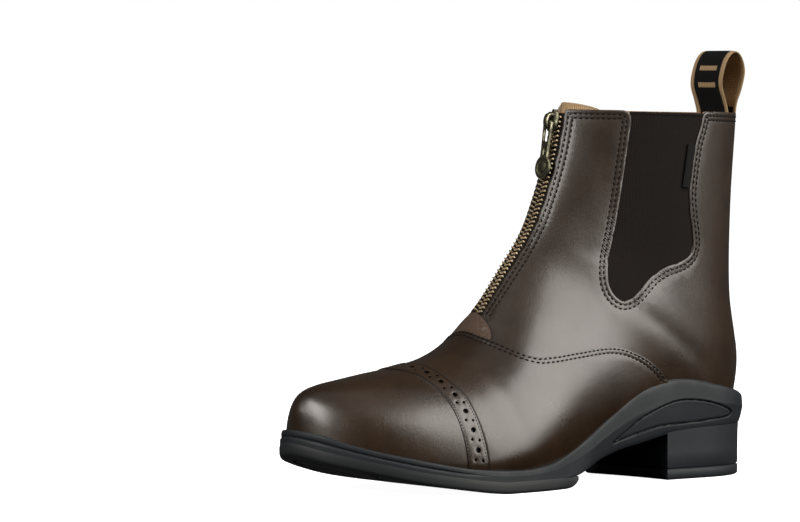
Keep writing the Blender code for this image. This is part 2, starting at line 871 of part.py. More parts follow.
def heel_block():
    """The heel, upright behind a slightly hollow breast."""
    steps = 12
    across = 4
    loops = []
    for z, inset in HEEL_LEVELS:
        breasts = {side: y + inset - HEEL_LEVELS[-1][1] for side, y in HEEL_BREAST_Y.items()}
        middle = sum(breasts.values()) / 2
        halves = {}
        for side, breast in breasts.items():
            run = HEEL_Y - breast
            places = [HEEL_Y - run * (1 - math.cos(math.pi / 2 * n / steps)) for n in range(steps + 1)]
            half = [plan_point(y, side, inset) for y in places]
            corner = half[-1].x
            for n in range(1, across):
                share = n / across
                y = breast + (middle - breast) * share + HEEL_BREAST_HOLLOW * (1 - (1 - share) ** 2)
                half.append(Vector((corner * (1 - share), y)))
            halves[side] = half
        tip = Vector((0.0, middle + HEEL_BREAST_HOLLOW))
        outline = halves[LATERAL] + [tip] + halves[MEDIAL][:0:-1]
        loops.append([(p.x, p.y, z) for p in outline])
    return stacked("heel_block", loops)


def build_outsole():
    """Rubber unit: body, tread and heel in one, hollowed for the upper."""
    sole = sole_wall("outsole", 0.0, "rubber")
    combine(sole, tread_layer(), "UNION")
    combine(sole, heel_block(), "UNION")
    combine(sole, last_form("last_room", GAP, floor_z), "DIFFERENCE")
    outline = spline(CRESCENT, 2, closed=True)
    for side, name in ((LATERAL, "lateral"), (MEDIAL, "medial")):
        near, far = SIDE_CUT_X
        panel = prism(f"crescent_{name}", outline, side * near, side * far, lambda y, z, x: (x, y, z))
        combine(panel, sole_wall(f"crescent_floor_{name}", CRESCENT_DEPTH), "DIFFERENCE")
        combine(sole, panel, "DIFFERENCE")
    ring = forepart_side(LATERAL, RIM_CHANNEL_END_Y[LATERAL], RIM_CHANNEL_INSET, RIM_CHANNEL_STEPS)
    ring += [Vector(point) for point in RIM_CHANNEL_REAR]
    medial = forepart_side(MEDIAL, RIM_CHANNEL_END_Y[MEDIAL], RIM_CHANNEL_INSET, RIM_CHANNEL_STEPS)
    ring += medial[:0:-1]
    combine(sole, channel("rim_channel", ring, RIM_CHANNEL_WIDTH, True), "DIFFERENCE")
    for n, line in enumerate(CHANNEL_LINES):
        cutter = channel(f"tread_channel_{n}", spline(line, 2), CHANNEL_WIDTH, False)
        combine(sole, cutter, "DIFFERENCE")


def gore_prism(name, side, inset, top):
    """The gore's outline, drawn in by inset and cut off at the top, through one side of the boot."""
    curve = spline(GORE_OUTLINE, 2)
    outline = []
    for n, here in enumerate(curve):
        before, after = curve[max(n - 1, 0)], curve[min(n + 1, len(curve) - 1)]
        along = (after - before).normalized()
        outline.append(here + Vector((-along.y, along.x)) * inset)
    kept = [n for n, point in enumerate(outline) if point.y < top]
    low, high = kept[0], kept[-1]
    ends = []
    for inner, outer in ((low, low - 1), (high, high + 1)):
        share = (top - outline[inner].y) / (outline[outer].y - outline[inner].y)
        ends.append(outline[inner].lerp(outline[outer], share))
    closed = [ends[0], *outline[low : high + 1], ends[1]]
    near, far = SIDE_CUT_X
    return prism(name, closed, side * near, side * far, lambda y, z, x: (x, y, z))


def build_upper():
    """The leather over the whole last, open at the collar, underneath, at the gores and the zip."""
    grid = [[(row, turn) for turn in lattice(row)] for row in SKIN_ROWS]
    upper = shell("upper", grid, level(-UPPER_WALL), level(0.0), "brown_leather")
    for side, name in ((LATERAL, "lateral"), (MEDIAL, "medial")):
        combine(upper, gore_prism(f"gore_window_{name}", side, 0.0, WINDOW_TOP_Z), "DIFFERENCE")
    low, high = ZIP_X - ZIP_SLOT_HALF, ZIP_X + ZIP_SLOT_HALF
    foot, top = ZIP_SLOT_Z
    slot = [(low, foot), (high, foot), (high, top), (low, top)]
    combine(upper, prism("zip_slot", slot, *ZIP_SLOT_Y, lambda x, z, y: (x, y, z)), "DIFFERENCE")


def build_gore(side, name):
    """One elastic gore, set back in its window."""
    outer = -GORE_SET_BACK
    grid = []
    for row in GORE_ROWS:
        turns = lattice(row)
        half = [turns[SECTION_COLUMNS + side * n] for n in range(1, SECTION_COLUMNS - 1)]
        grid.append([(row, turn) for turn in half])
    gore = shell(f"gore_{name}", grid, level(outer - GORE_THICKNESS), level(outer), "elastic")
    top = SKIN_SECTIONS[-1][1] - GORE_TOP_DROP
    combine(gore, gore_prism(f"gore_shape_{name}", side, GAP + 0.1, top), "INTERSECT")


def band_edge(turn, row, column):
    """Row of an edge of the toe cap's band, as far round as a turn near that row."""
    side = LATERAL if turn >= 0 else MEDIAL
    share = abs(turn) / foot_turn(row, side, above_rim)
    return smooth_value(BAND_EDGES, min(share, 1.0), column)


def build_toe_cap():
    """The toe cap, with the band over its rear edge as a step in its wall."""
    columns = []
    for n in range(2 * SECTION_COLUMNS + 1):
        front = band_edge(lattice(BAND_FRONT_ROW, above_rim)[n], BAND_FRONT_ROW, 1)
        rear = band_edge(lattice(BAND_REAR_ROW, above_rim)[n], BAND_REAR_ROW, 2)
        rows = [row for row in SKIN_ROWS if row < TOE_CAP_LAST_ROW]
        rows += [(rows[-1] + front) / 2, front - 0.001, front + 0.012, rear]
        columns.append([(row, lattice(row, above_rim)[n]) for row in rows])
    grid = [list(line) for line in zip(*columns)]
    step_line = len(grid) - 2
    high = {place for line in grid[step_line:] for place in line}

    def outer(row, turn):
        return GAP + OVERLAY_LEATHER + (BAND_STEP if (row, turn) in high else 0.0)

    shell("toe_cap", grid, level(OVERLAY_GAP), outer, "brown_leather")


def build_vamp():
    """The vamp, from the toe cap's band to the wave-shaped seam."""
    columns = []
    for n in range(2 * SECTION_COLUMNS + 1):
        start = band_edge(lattice(BAND_REAR_ROW, above_rim)[n], BAND_REAR_ROW, 2) + 0.03
        rows = [start] + [row for row in SKIN_ROWS if VAMP_ROWS[0] < row < VAMP_ROWS[1]]
        columns.append([(row, lattice(row, above_rim)[n]) for row in rows])
    grid = [list(line) for line in zip(*columns)]
    vamp = shell("vamp", grid, level(OVERLAY_GAP), level(GAP + OVERLAY_LEATHER), "brown_leather")
    beyond = [(p.x, p.y) for p in spline(VAMP_SEAM, 2)] + list(BEYOND_VAMP)
    far = SIDE_CUT_X[1]
    combine(vamp, prism("above_seam", beyond, -far, far, lambda y, z, x: (x, y, z)), "DIFFERENCE")


def build_throat_tab():
    """The small arched tab over the foot of the zip, just above the vamp."""
    columns = []
    for n in range(-6, 7):
        turn = THROAT_TAB_TURN * n / 6
        arch = math.sqrt(1 - (abs(n) / 6.3) ** 2)
        start = THROAT_TAB_FOOT + 0.1 * (n / 6) ** 2
        end = THROAT_TAB_FOOT + (THROAT_TAB_TOP - THROAT_TAB_FOOT) * arch + 0.08
        columns.append([(row, turn) for row in spaced(start, end, 5)])
    grid = [list(line) for line in zip(*columns)]
    shell("throat_tab", grid, level(GAP), level(GAP + THROAT_TAB_LEATHER), "brown_leather")


def build_back_strip():
    """The strip up the back seam."""
    lines = []
    foot = above_rim(HEEL_Y)
    for z in spaced(foot, BACK_STRIP[-1][0], 11):
        half = smooth_value(BACK_STRIP, z)
        line = []
        for offset in spaced(-half, half, 7):
            place = back_place(z, offset)
            if z == foot:
                place = back_place(above_rim(skin(*place).y), offset)
            line.append(place)
        lines.append(line)
    shell("back_strip", lines, level(GAP), level(GAP + BACK_STRIP_LEATHER), "brown_leather")


def ribbon(name, rows, half, low, high, finish):
    """A straight-sided bar along the front edge of the boot, between two heights over it."""
    steps = (-1.0, 0.0, 1.0)
    wide = len(steps)
    size = len(rows) * wide
    points, faces = [], []
    for lift in (high, low):
        for row in rows:
            middle = lifted(row, 0.0, lift)
            points += [middle + Vector((half * step, 0.0, 0.0)) for step in steps]
    for i in range(len(rows) - 1):
        for j in range(wide - 1):
            a = i * wide + j
            faces.append((a, a + 1, a + wide + 1, a + wide))
            faces.append((size + a, size + a + wide, size + a + wide + 1, size + a + 1))
        for a in (i * wide, (i + 1) * wide - 1):
            faces.append((a, a + wide, size + a + wide, size + a))
    for start in (0, size - wide):
        faces += [(start + j, start + j + 1, size + start + j + 1, size + start + j) for j in range(wide - 1)]
    solid(name, points, faces, finish)


def build_zip():
    """The zip's tape and chain, up the front edge of the boot."""
    face = -ZIP_TAPE_DEPTH
    tape_rows = spaced(ZIP_TAPE_START_ROW, COLLAR_ROW - 0.1, 16)
    ribbon("zip_tape", tape_rows, ZIP_SLOT_HALF - 0.35, face - ZIP_TAPE_THICKNESS, face, "zip_cloth")
    chain_rows = spaced(ZIP_CHAIN_START_ROW, COLLAR_ROW - 0.14, 15)
    low = face + ZIP_CHAIN_LIFT
    ribbon("zip_chain", chain_rows, ZIP_CHAIN_HALF, low, low + ZIP_CHAIN_HEIGHT, "antique_brass")


def slider_frame():
    """Centre of the slider's inner face, with its directions across, down and out."""
    out = outward(SLIDER_ROW, 0.0)
    out.x = 0.0
    out.normalize()
    across = Vector((1.0, 0.0, 0.0))
    chain_face = -ZIP_TAPE_DEPTH + ZIP_CHAIN_LIFT + ZIP_CHAIN_HEIGHT
    centre = lifted(SLIDER_ROW, 0.0, chain_face + GAP)
    return centre, across, across.cross(out), out


def in_frame(frame):
    """Turns across, down and out measures of a frame into points."""
    centre, across, down, out = frame
    return lambda a, d, o: centre + across * a + down * d + out * o


def build_slider():
    """The slider's front plate, with the bridge that holds the pull."""
    at = in_frame(slider_frame())
    half, length = SLIDER_HALF_WIDTH, SLIDER_HALF_LENGTH
    outline = [(half * width, length * down) for down, width in SLIDER_OUTLINE]
    outline += [(-a, d) for a, d in reversed(outline)]
    plate = prism("zip_slider", outline, 0.0, SLIDER_PLATE, at, "antique_brass")
    foot, top = SLIDER_PLATE - GAP, SLIDER_PLATE + BRIDGE_HEIGHT

    def arch(reach, crown, corner):
        rise = [(-reach, foot), (-reach, crown - corner), (corner - reach, crown)]
        return rise + [(-d, o) for d, o in reversed(rise)]

    bow = arch(BRIDGE_HALF_LENGTH, top, BRIDGE_CORNER)
    bow += reversed(arch(BRIDGE_HALF_LENGTH - BRIDGE_WIRE, top - BRIDGE_WIRE, BRIDGE_CORNER / 2))
    half = BRIDGE_HALF_WIDTH
    combine(plate, prism("slider_bridge", bow, -half, half, lambda d, o, a: at(a, d, o)), "UNION")


def pull_frame():
    """Middle of the pull's hinge, with its directions across, down along the hanging pull, and out."""
    centre, across, down, out = slider_frame()
    hinge = centre + down * HINGE_DOWN + out * (SLIDER_PLATE + HINGE_HEIGHT)
    rest = -ZIP_TAPE_DEPTH + ZIP_CHAIN_LIFT + ZIP_CHAIN_HEIGHT + GAP + PULL_THICKNESS / 2

    def tip(row):
        return lifted(row, 0.0, rest)

    row = bisect(12.0, SLIDER_ROW, lambda row: (tip(row) - hinge).length < PULL_REACH + 4.0)
    hang = (tip(row) - hinge).normalized()
    return hinge, across, hang, hang.cross(across)


def build_pull():
    """The slider's pull: a frame through the bridge, an eye, and a round dished end."""
    at = in_frame(pull_frame())
    half, radius = PULL_HALF_WIDTH, PULL_DISC_RADIUS
    side = [(half - PULL_CORNER, PULL_TOP), (half, PULL_TOP + PULL_CORNER), (half, PULL_REACH / 2)]
    meet = math.asin(half * 0.86 / radius)
    outline = list(side)
    for n in range(DISC_STEPS + 1):
        angle = meet + (2 * math.pi - 2 * meet) * n / DISC_STEPS
        outline.append((radius * math.sin(angle), PULL_REACH - radius * math.cos(angle)))
    outline += [(-a, d) for a, d in reversed(side)]
    thick = PULL_THICKNESS / 2
    through = 2 * PULL_THICKNESS
    pull = prism("zip_pull", outline, -thick, thick, at, "antique_brass")
    for start, end, wide in PULL_OPENINGS:
        opening = [(wide, start), (wide, end), (-wide, end), (-wide, start)]
        combine(pull, prism("pull_opening", opening, -through, through, at), "DIFFERENCE")
    ring = [2 * math.pi * n / DISC_STEPS for n in range(DISC_STEPS)]
    dish = [(PULL_DISH_RADIUS * math.sin(a), PULL_REACH + PULL_DISH_RADIUS * math.cos(a)) for a in ring]
    combine(pull, prism("pull_dish", dish, thick - PULL_DISH_DEPTH, through, at), "DIFFERENCE")


def build_pull_loop():
    """The webbing loop, one end inside the collar's back and the other outside it."""
    collar_z = LOOP_ROUNDNESS[0][0]
    middle_y = skin(*back_place(collar_z, 0.0)).y
    half = LOOP_THICKNESS / 2
    inner, outer = -UPPER_WALL - LOOP_INSIDE_GAP - half, GAP + half
    curve = spline(LOOP_PATH, 2)
    offsets = spaced(-LOOP_HALF_WIDTH, LOOP_HALF_WIDTH, 5)
    sheets = {-half: [], half: []}
    for offset in offsets:
        round_off = middle_y - skin(*back_place(collar_z, offset)).y
        path = []
        for z in LOOP_INNER_Z:
            path.append(Vector((skin(*back_place(z, offset)).y + inner, z)))
        for p in curve:
            path.append(Vector((p.x - round_off * smooth_value(LOOP_ROUNDNESS, p.y), p.y)))
        for z in LOOP_OUTER_Z:
            path.append(Vector((skin(*back_place(z, offset)).y + outer, z)))
        for side, sheet in sheets.items():
            line = []
            for n, here in enumerate(path):
                before, after = path[max(n - 1, 0)], path[min(n + 1, len(path) - 1)]
                along = (after - before).normalized()
                edge = here + Vector((-along.y, along.x)) * side
                line.append(Vector((LOOP_CENTRE_X + offset, edge.x, edge.y)))
            sheet.append(line)
    points = [p for sheet in sheets.values() for line in sheet for p in line]
    lines, wide = len(offsets), len(sheets[half][0])
    size = lines * wide
    faces = []
    for i in range(lines - 1):
        for j in range(wide - 1):
            a = i * wide + j
            faces.append((a, a + 1, a + wide + 1, a + wide))
            faces.append((size + a, size + a + wide, size + a + wide + 1, size + a + 1))
        for a in (i * wide, (i + 1) * wide - 1):
            faces.append((a, a + wide, size + a + wide, size + a))
    for start in (0, size - wide):
        faces += [(start + j, start + j + 1, size + start + j + 1, size + start + j) for j in range(wide - 1)]
    solid("pull_loop", points, faces, "webbing")


def build_label():
    """The small folded label at the rear edge of the lateral gore."""
    low_front, low_rear, high_rear, high_front = (Vector(corner) for corner in TAG_CORNERS)
    grid = []
    for up in spaced(0.0, 1.0, 5):
        front, rear = low_front.lerp(high_front, up), low_rear.lerp(high_rear, up)
        grid.append([side_place(*front.lerp(rear, share), LATERAL) for share in (0.0, 0.5, 1.0)])
    low = GAP - GORE_SET_BACK
    shell("label_tag", grid, level(low), level(low + TAG_THICKNESS), "label_cloth")


def build_insole():
    """The sock inside, on the sole's floor, whose facets it follows row by row."""
    lines = []
    for row in SKIN_ROWS:
        if foot_turn(row, LATERAL, floor_z) < 1.0:
            low = lifted(row, -foot_turn(row, MEDIAL, floor_z), GAP)
            high = lifted(row, foot_turn(row, LATERAL, floor_z), GAP)
            lines.append((low, high))
    wide = Vector((INSOLE_SPARE, 0.0, 0.0))
    points = []
    for low, high in lines:
        for lift in (GAP, GAP + INSOLE_THICKNESS):
            up = Vector((0.0, 0.0, lift))
            points += [low - wide + up, high + wide + up]
    faces = [(0, 1, 3, 2), tuple(4 * (len(lines) - 1) + n for n in (0, 1, 3, 2))]
    for n in range(len(lines) - 1):
        a, b = 4 * n, 4 * (n + 1)
        faces += [(a + i, a + j, b + j, b + i) for i, j in ((0, 1), (1, 3), (3, 2), (2, 0))]
    insole = solid("insole", points, faces, "insole_cloth")
    room = last_form("insole_room", -UPPER_WALL - INSOLE_GAP, lambda y: floor_z(y) - INSOLE_SPARE)
    combine(insole, room, "INTERSECT")


def main():
    """Builds every piece of the boot."""
    for existing in list(bpy.data.objects):
        bpy.data.objects.remove(existing)
    build_outsole()
    build_upper()
    build_gore(LATERAL, "lateral")
    build_gore(MEDIAL, "medial")
    build_toe_cap()
    build_vamp()
    build_throat_tab()
    build_back_strip()
    build_zip()
    build_slider()
    build_pull()
    build_pull_loop()
    build_label()
    build_insole()


if __name__ == "__main__":
    main()
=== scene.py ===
"""Looks of a left zip-front paddock boot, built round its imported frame.

Lengths are millimetres in the boot's own measures until a mesh is made, which is in metres about
the frame's origin. The toe points to -Y, the outer (lateral) side of the foot to +X, and the floor
is z = 0. Leather is read from one surface over the last. A place on it is a pair (row, turn): the
row counts from the toe's tip to the collar, and the turn goes from 0 along the front of the boot to
+1 along its back round the lateral side and -1 round the medial one. A run of places is an array
with two columns.
"""

import logging
import math
from collections.abc import Callable, Sequence
from dataclasses import dataclass, field
from enum import Enum
from functools import cached_property

import bmesh
import bpy
import numpy as np
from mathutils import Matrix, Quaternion, Vector, geometry, kdtree


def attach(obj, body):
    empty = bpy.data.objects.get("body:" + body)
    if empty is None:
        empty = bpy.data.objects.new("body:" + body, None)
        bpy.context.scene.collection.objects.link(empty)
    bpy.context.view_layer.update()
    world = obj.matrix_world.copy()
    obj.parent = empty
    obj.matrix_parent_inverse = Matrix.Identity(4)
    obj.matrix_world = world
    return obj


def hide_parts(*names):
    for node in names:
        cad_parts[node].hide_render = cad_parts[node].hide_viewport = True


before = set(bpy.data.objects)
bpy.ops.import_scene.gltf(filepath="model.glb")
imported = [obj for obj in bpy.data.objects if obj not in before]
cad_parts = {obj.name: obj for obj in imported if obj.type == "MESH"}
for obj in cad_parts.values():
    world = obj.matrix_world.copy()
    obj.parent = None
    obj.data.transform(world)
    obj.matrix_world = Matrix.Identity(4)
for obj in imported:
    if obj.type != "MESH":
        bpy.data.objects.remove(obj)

Array = np.ndarray
Table = tuple[tuple[float, ...], ...]
Heights = Callable[[Array], Array]
log = logging.getLogger("paddock_boot")

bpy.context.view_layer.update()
MM = 0.001
ORIGIN_Y = 5.05
BODY = "boot"
PULL_BODY = "pull"


class Side(Enum):
    """The two sides of the boot, as the sign of X."""

    LATERAL = 1
    MEDIAL = -1


class Slot(Enum):
    """The record's material slots."""

    LEATHER = "brown_leather"
    ELASTIC = "elastic"
    RUBBER = "rubber"
    WEBBING = "webbing"
    ZIP_CLOTH = "zip_cloth"
    BRASS = "antique_brass"
    LINING = "insole_cloth"
    LABEL = "label_cloth"


def table_value(table: Table, at: Array | float, column: int = 1) -> Array:
    """Reads one column of a table on a smooth curve through its rows.

    Args:
        table: Rows whose first column rises.
        at: Places in the first column.
        column: The column that is read.

    Returns:
        The values, held at the table's ends.
    """
    rows = np.asarray(table, float)
    x, v = rows[:, 0], rows[:, column]
    last = len(x) - 1
    order = np.arange(last + 1)
    low, high = np.maximum(order - 1, 0), np.minimum(order + 1, last)
    slope = (v[high] - v[low]) / (x[high] - x[low])
    at = np.asarray(at, float)
    i = np.clip(np.searchsorted(x, at, side="right") - 1, 0, last - 1)
    span = x[i + 1] - x[i]
    s = np.clip((at - x[i]) / span, 0.0, 1.0)
    bent = span * (slope[i] * s * (1 - s) ** 2 - slope[i + 1] * s * s * (1 - s))
    return v[i] * (1 + 2 * s) * (1 - s) ** 2 + v[i + 1] * s * s * (3 - 2 * s) + bent


def spline(points: Sequence | Array, per_span: int, closed: bool = False) -> Array:
    """Draws a smooth curve through points.

    Args:
        points: The points, in any number of columns.
        per_span: Steps from one point to the next.
        closed: Whether the curve comes back to its start.

    Returns:
        The curve's points.
    """
    p = np.asarray(points, float)
    if closed:
        p = np.vstack([p[-1:], p, p[:2]])
    else:
        p = np.vstack([2 * p[0] - p[1], p, 2 * p[-1] - p[-2]])
    s = (np.arange(per_span) / per_span)[:, None]
    spans = []
    for p0, p1, p2, p3 in zip(p, p[1:], p[2:], p[3:]):
        curve = (2 * p0 - 5 * p1 + 4 * p2 - p3) * s * s + (3 * p1 - p0 - 3 * p2 + p3) * s**3
        spans.append(0.5 * (2 * p1 + (p2 - p0) * s + curve))
    if not closed:
        spans.append(p[-2:-1])
    return np.vstack(spans)


def eased(share: Array | float) -> Array:
    """Smooth step from 0 to 1."""
    share = np.clip(share, 0.0, 1.0)
    return share * share * (3 - 2 * share)


def bisect(low: Array, high: Array, beyond: Callable[[Array], Array], steps: int = 30) -> Array:
    """Finds where a test starts to hold between two bounds, for many places at once.

    Args:
        low: Lower bounds, where it doesn't hold.
        high: Upper bounds, where it holds.
        beyond: The test.
        steps: How often the span is halved.

    Returns:
        The values between.
    """
    low, high = np.array(low, float), np.array(high, float)
    for _ in range(steps):
        middle = (low + high) / 2
        over = beyond(middle)
        high = np.where(over, middle, high)
        low = np.where(over, low, middle)
    return (low + high) / 2


def unit(vectors: Array) -> Array:
    """The vectors at length 1."""
    return vectors / np.maximum(np.linalg.norm(vectors, axis=-1, keepdims=True), 1e-12)


def tree_of(points: Array) -> kdtree.KDTree:
    """A search tree over points with two or three columns."""
    tree = kdtree.KDTree(len(points))
    for n, point in enumerate(points):
        tree.insert((*point, 0.0)[:3], n)
    tree.balance()
    return tree


def distances(tree: kdtree.KDTree, points: Array) -> Array:
    """How far each point is from the nearest one in a search tree."""
    return np.array([tree.find((*point, 0.0)[:3])[2] for point in points])


@dataclass(frozen=True)
class SolePlan:
    """Outline and heights of the sole."""

    toe_y: float = -134.5
    heel_y: float = 142.0
    toe_x: float = -11.0
    heel_x: float = -2.0
    toe_power: tuple[float, float] = (1.8, 2.1)
    heel_power: float = 2.25
    # Columns: y, x of the lateral edge.
    lateral: Table = ((-43.0, 48.5), (-18.0, 46.0), (10.0, 39.5), (40.0, 35.0), (70.0, 33.0), (100.0, 32.5))
    # Columns: y, x of the medial edge.
    medial: Table = (
        (-58.0, -48.5), (-30.0, -44.0), (-2.0, -34.5), (28.0, -29.5), (55.0, -31.0), (80.0, -34.5),
        (100.0, -35.5),
    )
    # Columns: y, underside of the tread, top of the rubber rim, floor inside.
    heights: Table = (
        (-134.5, 20.6, 33.6, 29.0), (-127.0, 17.0, 31.0, 26.5), (-118.0, 14.2, 26.8, 23.0),
        (-106.0, 11.0, 22.8, 19.0), (-91.0, 7.3, 19.1, 15.2), (-79.0, 5.0, 16.5, 12.8),
        (-66.0, 2.9, 14.0, 10.6), (-53.0, 1.1, 12.5, 9.0), (-40.0, 0.0, 11.7, 8.3), (-24.0, 0.0, 11.8, 8.4),
        (-6.0, 0.0, 14.7, 10.0), (12.0, 0.0, 22.2, 13.5), (32.0, 0.0, 33.8, 19.5), (52.0, 0.0, 45.2, 25.5),
        (65.0, 0.0, 49.5, 29.5), (84.0, 0.0, 52.0, 32.0), (110.0, 0.0, 47.6, 33.0),
        (127.0, 0.0, 43.8, 33.4), (140.0, 0.0, 40.0, 33.5),
    )
    # Underside of the sole's body behind the tread. Columns: y, z.
    shank: Table = (
        (-45.0, 4.5), (-5.0, 5.0), (12.0, 7.0), (30.0, 14.0), (44.0, 17.8), (54.0, 19.6), (66.0, 22.0),
        (76.0, 23.8), (100.0, 25.6), (140.0, 26.6),
    )
    tread_thickness: float = 5.5

    def underside(self, y: Array) -> Array:
        """Height of the tread's underside."""
        return np.maximum(table_value(self.heights, y, 1), 0.0)

    def rim(self, y: Array) -> Array:
        """Height of the rubber rim."""
        return table_value(self.heights, y, 2)

    def floor(self, y: Array) -> Array:
        """Height of the floor inside."""
        return table_value(self.heights, y, 3)

    def body_underside(self, y: Array) -> Array:
        """Underside of the sole's body: the top of the tread, and the open shank behind it."""
        return np.maximum(self.underside(y) + self.tread_thickness - 1.0, table_value(self.shank, y))

    def edge(self, y: Array, side: Side) -> Array:
        """x of the sole's outline on one side."""
        rows = self.lateral if side is Side.LATERAL else self.medial
        power = self.toe_power[0 if side is Side.LATERAL else 1]
        y = np.asarray(y, float)
        toe = np.clip((rows[0][0] - y) / (rows[0][0] - self.toe_y), 0.0, 1.0)
        heel = np.clip((y - rows[-1][0]) / (self.heel_y - rows[-1][0]), 0.0, 1.0)
        front = self.toe_x + (rows[0][1] - self.toe_x) * (1 - toe**power) ** (1 / power)
        reach = (1 - heel**self.heel_power) ** (1 / self.heel_power)
        rear = self.heel_x + (rows[-1][1] - self.heel_x) * reach
        middle = table_value(rows, y)
        return np.where(y < rows[0][0], front, np.where(y > rows[-1][0], rear, middle))

    def points(self, y: Array, side: Side, inset: Array | float) -> Array:
        """Points (x, y) of the outline, drawn in square to its edge."""
        step = 0.05
        y = np.clip(np.asarray(y, float), self.toe_y, self.heel_y)
        near = np.clip(y, self.toe_y + step, self.heel_y - step)
        run = (self.edge(near + step, side) - self.edge(near - step, side)) / (2 * step)
        way = unit(np.stack([np.full_like(run, side.value), -side.value * run], axis=1))
        way[y - self.toe_y < step] = (0.0, -1.0)
        way[self.heel_y - y < step] = (0.0, 1.0)
        edge = np.stack([self.edge(y, side), y], axis=1)
        return edge - way * np.broadcast_to(inset, y.shape)[:, None]

    def loop(self, inset: Callable[[Array], Array], steps: int) -> Array:
        """Points round the outline: toe tip, lateral side, heel, medial side.

        Args:
            inset: How far it is drawn in, from y.
            steps: Points on a side.

        Returns:
            The points (x, y), twice as many as the steps.
        """
        half = (self.heel_y - self.toe_y) / 2
        places = self.toe_y + half * (1 - np.cos(np.pi * np.arange(steps + 1) / steps))
        back = places[-2:0:-1]
        lateral = self.points(places, Side.LATERAL, inset(places))
        return np.vstack([lateral, self.points(back, Side.MEDIAL, inset(back))])


@dataclass(frozen=True)
class Last:
    """The surface over the last."""

    plan: SolePlan
    # Sections, toe to collar, each in a plane from the front of the boot to its underside or back.
    # Columns: front y and z, back y and z, half-widths to the lateral and medial side, x of the
    # middle at the front and at the back, where it is widest, and how sharp it is at the front and
    # at the back (1 is an ellipse, less is blunter).
    sections: Table = (
        (-129.1, 39.6, -129.0, 22.0, 0.0, 0.0, -11.0, -11.0, 0.60, 1.00, 1.00),
        (-127.6, 44.8, -128.0, 17.0, 7.8, 7.4, -11.0, -11.0, 0.62, 1.00, 0.92),
        (-123.2, 50.1, -124.0, 14.0, 16.2, 14.6, -10.5, -10.0, 0.64, 0.97, 0.88),
        (-114.6, 53.1, -115.6, 10.5, 25.0, 22.4, -9.5, -8.5, 0.66, 0.95, 0.83),
        (-102.2, 55.3, -103.0, 7.0, 32.8, 30.4, -8.0, -6.0, 0.69, 0.94, 0.78),
        (-86.2, 57.9, -87.0, 3.0, 39.6, 37.2, -6.5, -4.0, 0.71, 0.93, 0.76),
        (-68.6, 60.7, -68.0, -0.5, 44.7, 41.6, -5.0, -2.5, 0.72, 0.95, 0.75),
        (-49.4, 65.6, -46.0, -2.5, 47.8, 43.0, -3.5, -1.0, 0.70, 1.00, 0.75),
        (-34.0, 74.8, -22.0, -2.5, 47.8, 41.6, -2.5, 0.0, 0.66, 1.12, 0.75),
        (-22.5, 90.0, 6.0, 2.0, 44.3, 34.7, -2.0, 0.0, 0.62, 1.30, 0.75),
        (-9.9, 106.5, 44.0, 14.0, 38.2, 28.4, -2.0, -1.0, 0.58, 1.36, 0.72),
        (1.2, 120.5, 88.0, 20.0, 34.5, 28.9, -2.0, -2.0, 0.55, 1.25, 0.70),
        (9.6, 132.5, 126.0, 24.0, 35.4, 34.1, -2.0, -2.0, 0.53, 1.15, 0.72),
        (15.0, 144.0, 139.6, 52.0, 34.5, 35.0, -2.0, -2.0, 0.52, 1.15, 0.78),
        (20.0, 157.0, 134.9, 92.0, 34.5, 35.5, -2.0, -2.0, 0.52, 1.22, 0.85),
        (24.4, 172.5, 135.1, 138.0, 35.5, 36.5, -2.0, -2.0, 0.52, 1.36, 0.88),
        (27.8, 190.0, 138.4, 187.5, 36.5, 37.5, -2.0, -2.0, 0.52, 1.50, 0.88),
    )

    @property
    def collar(self) -> float:
        """Row of the collar."""
        return float(len(self.sections) - 1)

    @cached_property
    def rows(self) -> Array:
        """The sections with one more at each end. The toe's is mirrored, so the skin closes."""
        table = np.array(self.sections)
        first = table[1].copy()
        first[4:6] *= -1
        return np.vstack([first, table, 2 * table[-1] - table[-2]])

    def section(self, row: Array) -> Array:
        """The sections' columns at any rows."""
        row = np.clip(row, 0.0, self.collar)
        i = np.minimum(row.astype(int), int(self.collar) - 1)
        s = (row - i)[:, None]
        p0, p1, p2, p3 = (self.rows[i + n] for n in range(4))
        curve = (2 * p0 - 5 * p1 + 4 * p2 - p3) * s * s + (3 * p1 - p0 - 3 * p2 + p3) * s**3
        return 0.5 * (2 * p1 + (p2 - p0) * s + curve)

    def points(self, row: Array | float, turn: Array | float) -> Array:
        """Points of the surface at places."""
        row, turn = np.broadcast_arrays(np.asarray(row, float), np.asarray(turn, float))
        turn = np.where(turn > 1, turn - 2, np.where(turn < -1, turn + 2, turn))
        front_y, front_z, back_y, back_z, lateral, medial, x_front, x_back, widest, nose, tail = (
            self.section(row).T
        )
        swing = -np.cos(np.pi * np.abs(turn))
        bow = np.maximum(np.sin(np.pi * np.abs(turn)), 0.0)
        share = np.where(swing < 0, widest * (1 + swing), widest + (1 - widest) * swing)
        width = bow ** np.where(swing < 0, nose, tail)
        half = np.where(turn >= 0, lateral, -medial)
        x = x_front + (x_back - x_front) * share + half * width
        y = front_y + (back_y - front_y) * share
        return np.stack([x, y, front_z + (back_z - front_z) * share], axis=1)

    def slopes(self, row: Array, turn: Array) -> tuple[Array, Array]:
        """How a point moves with the row and with the turn."""
        low, high = np.maximum(row - 0.04, 0.0), np.minimum(row + 0.04, self.collar)
        along = (self.points(high, turn) - self.points(low, turn)) / (high - low)[:, None]
        around = (self.points(row, turn + 0.01) - self.points(row, turn - 0.01)) / 0.02
        return along, around

    def outward(self, row: Array, turn: Array) -> Array:
        """Directions square to the surface."""
        along, around = self.slopes(row, turn)
        way = np.cross(around, along)
        way[:, 0] = np.where(row <= 0.0, 0.0, way[:, 0])
        return unit(way)

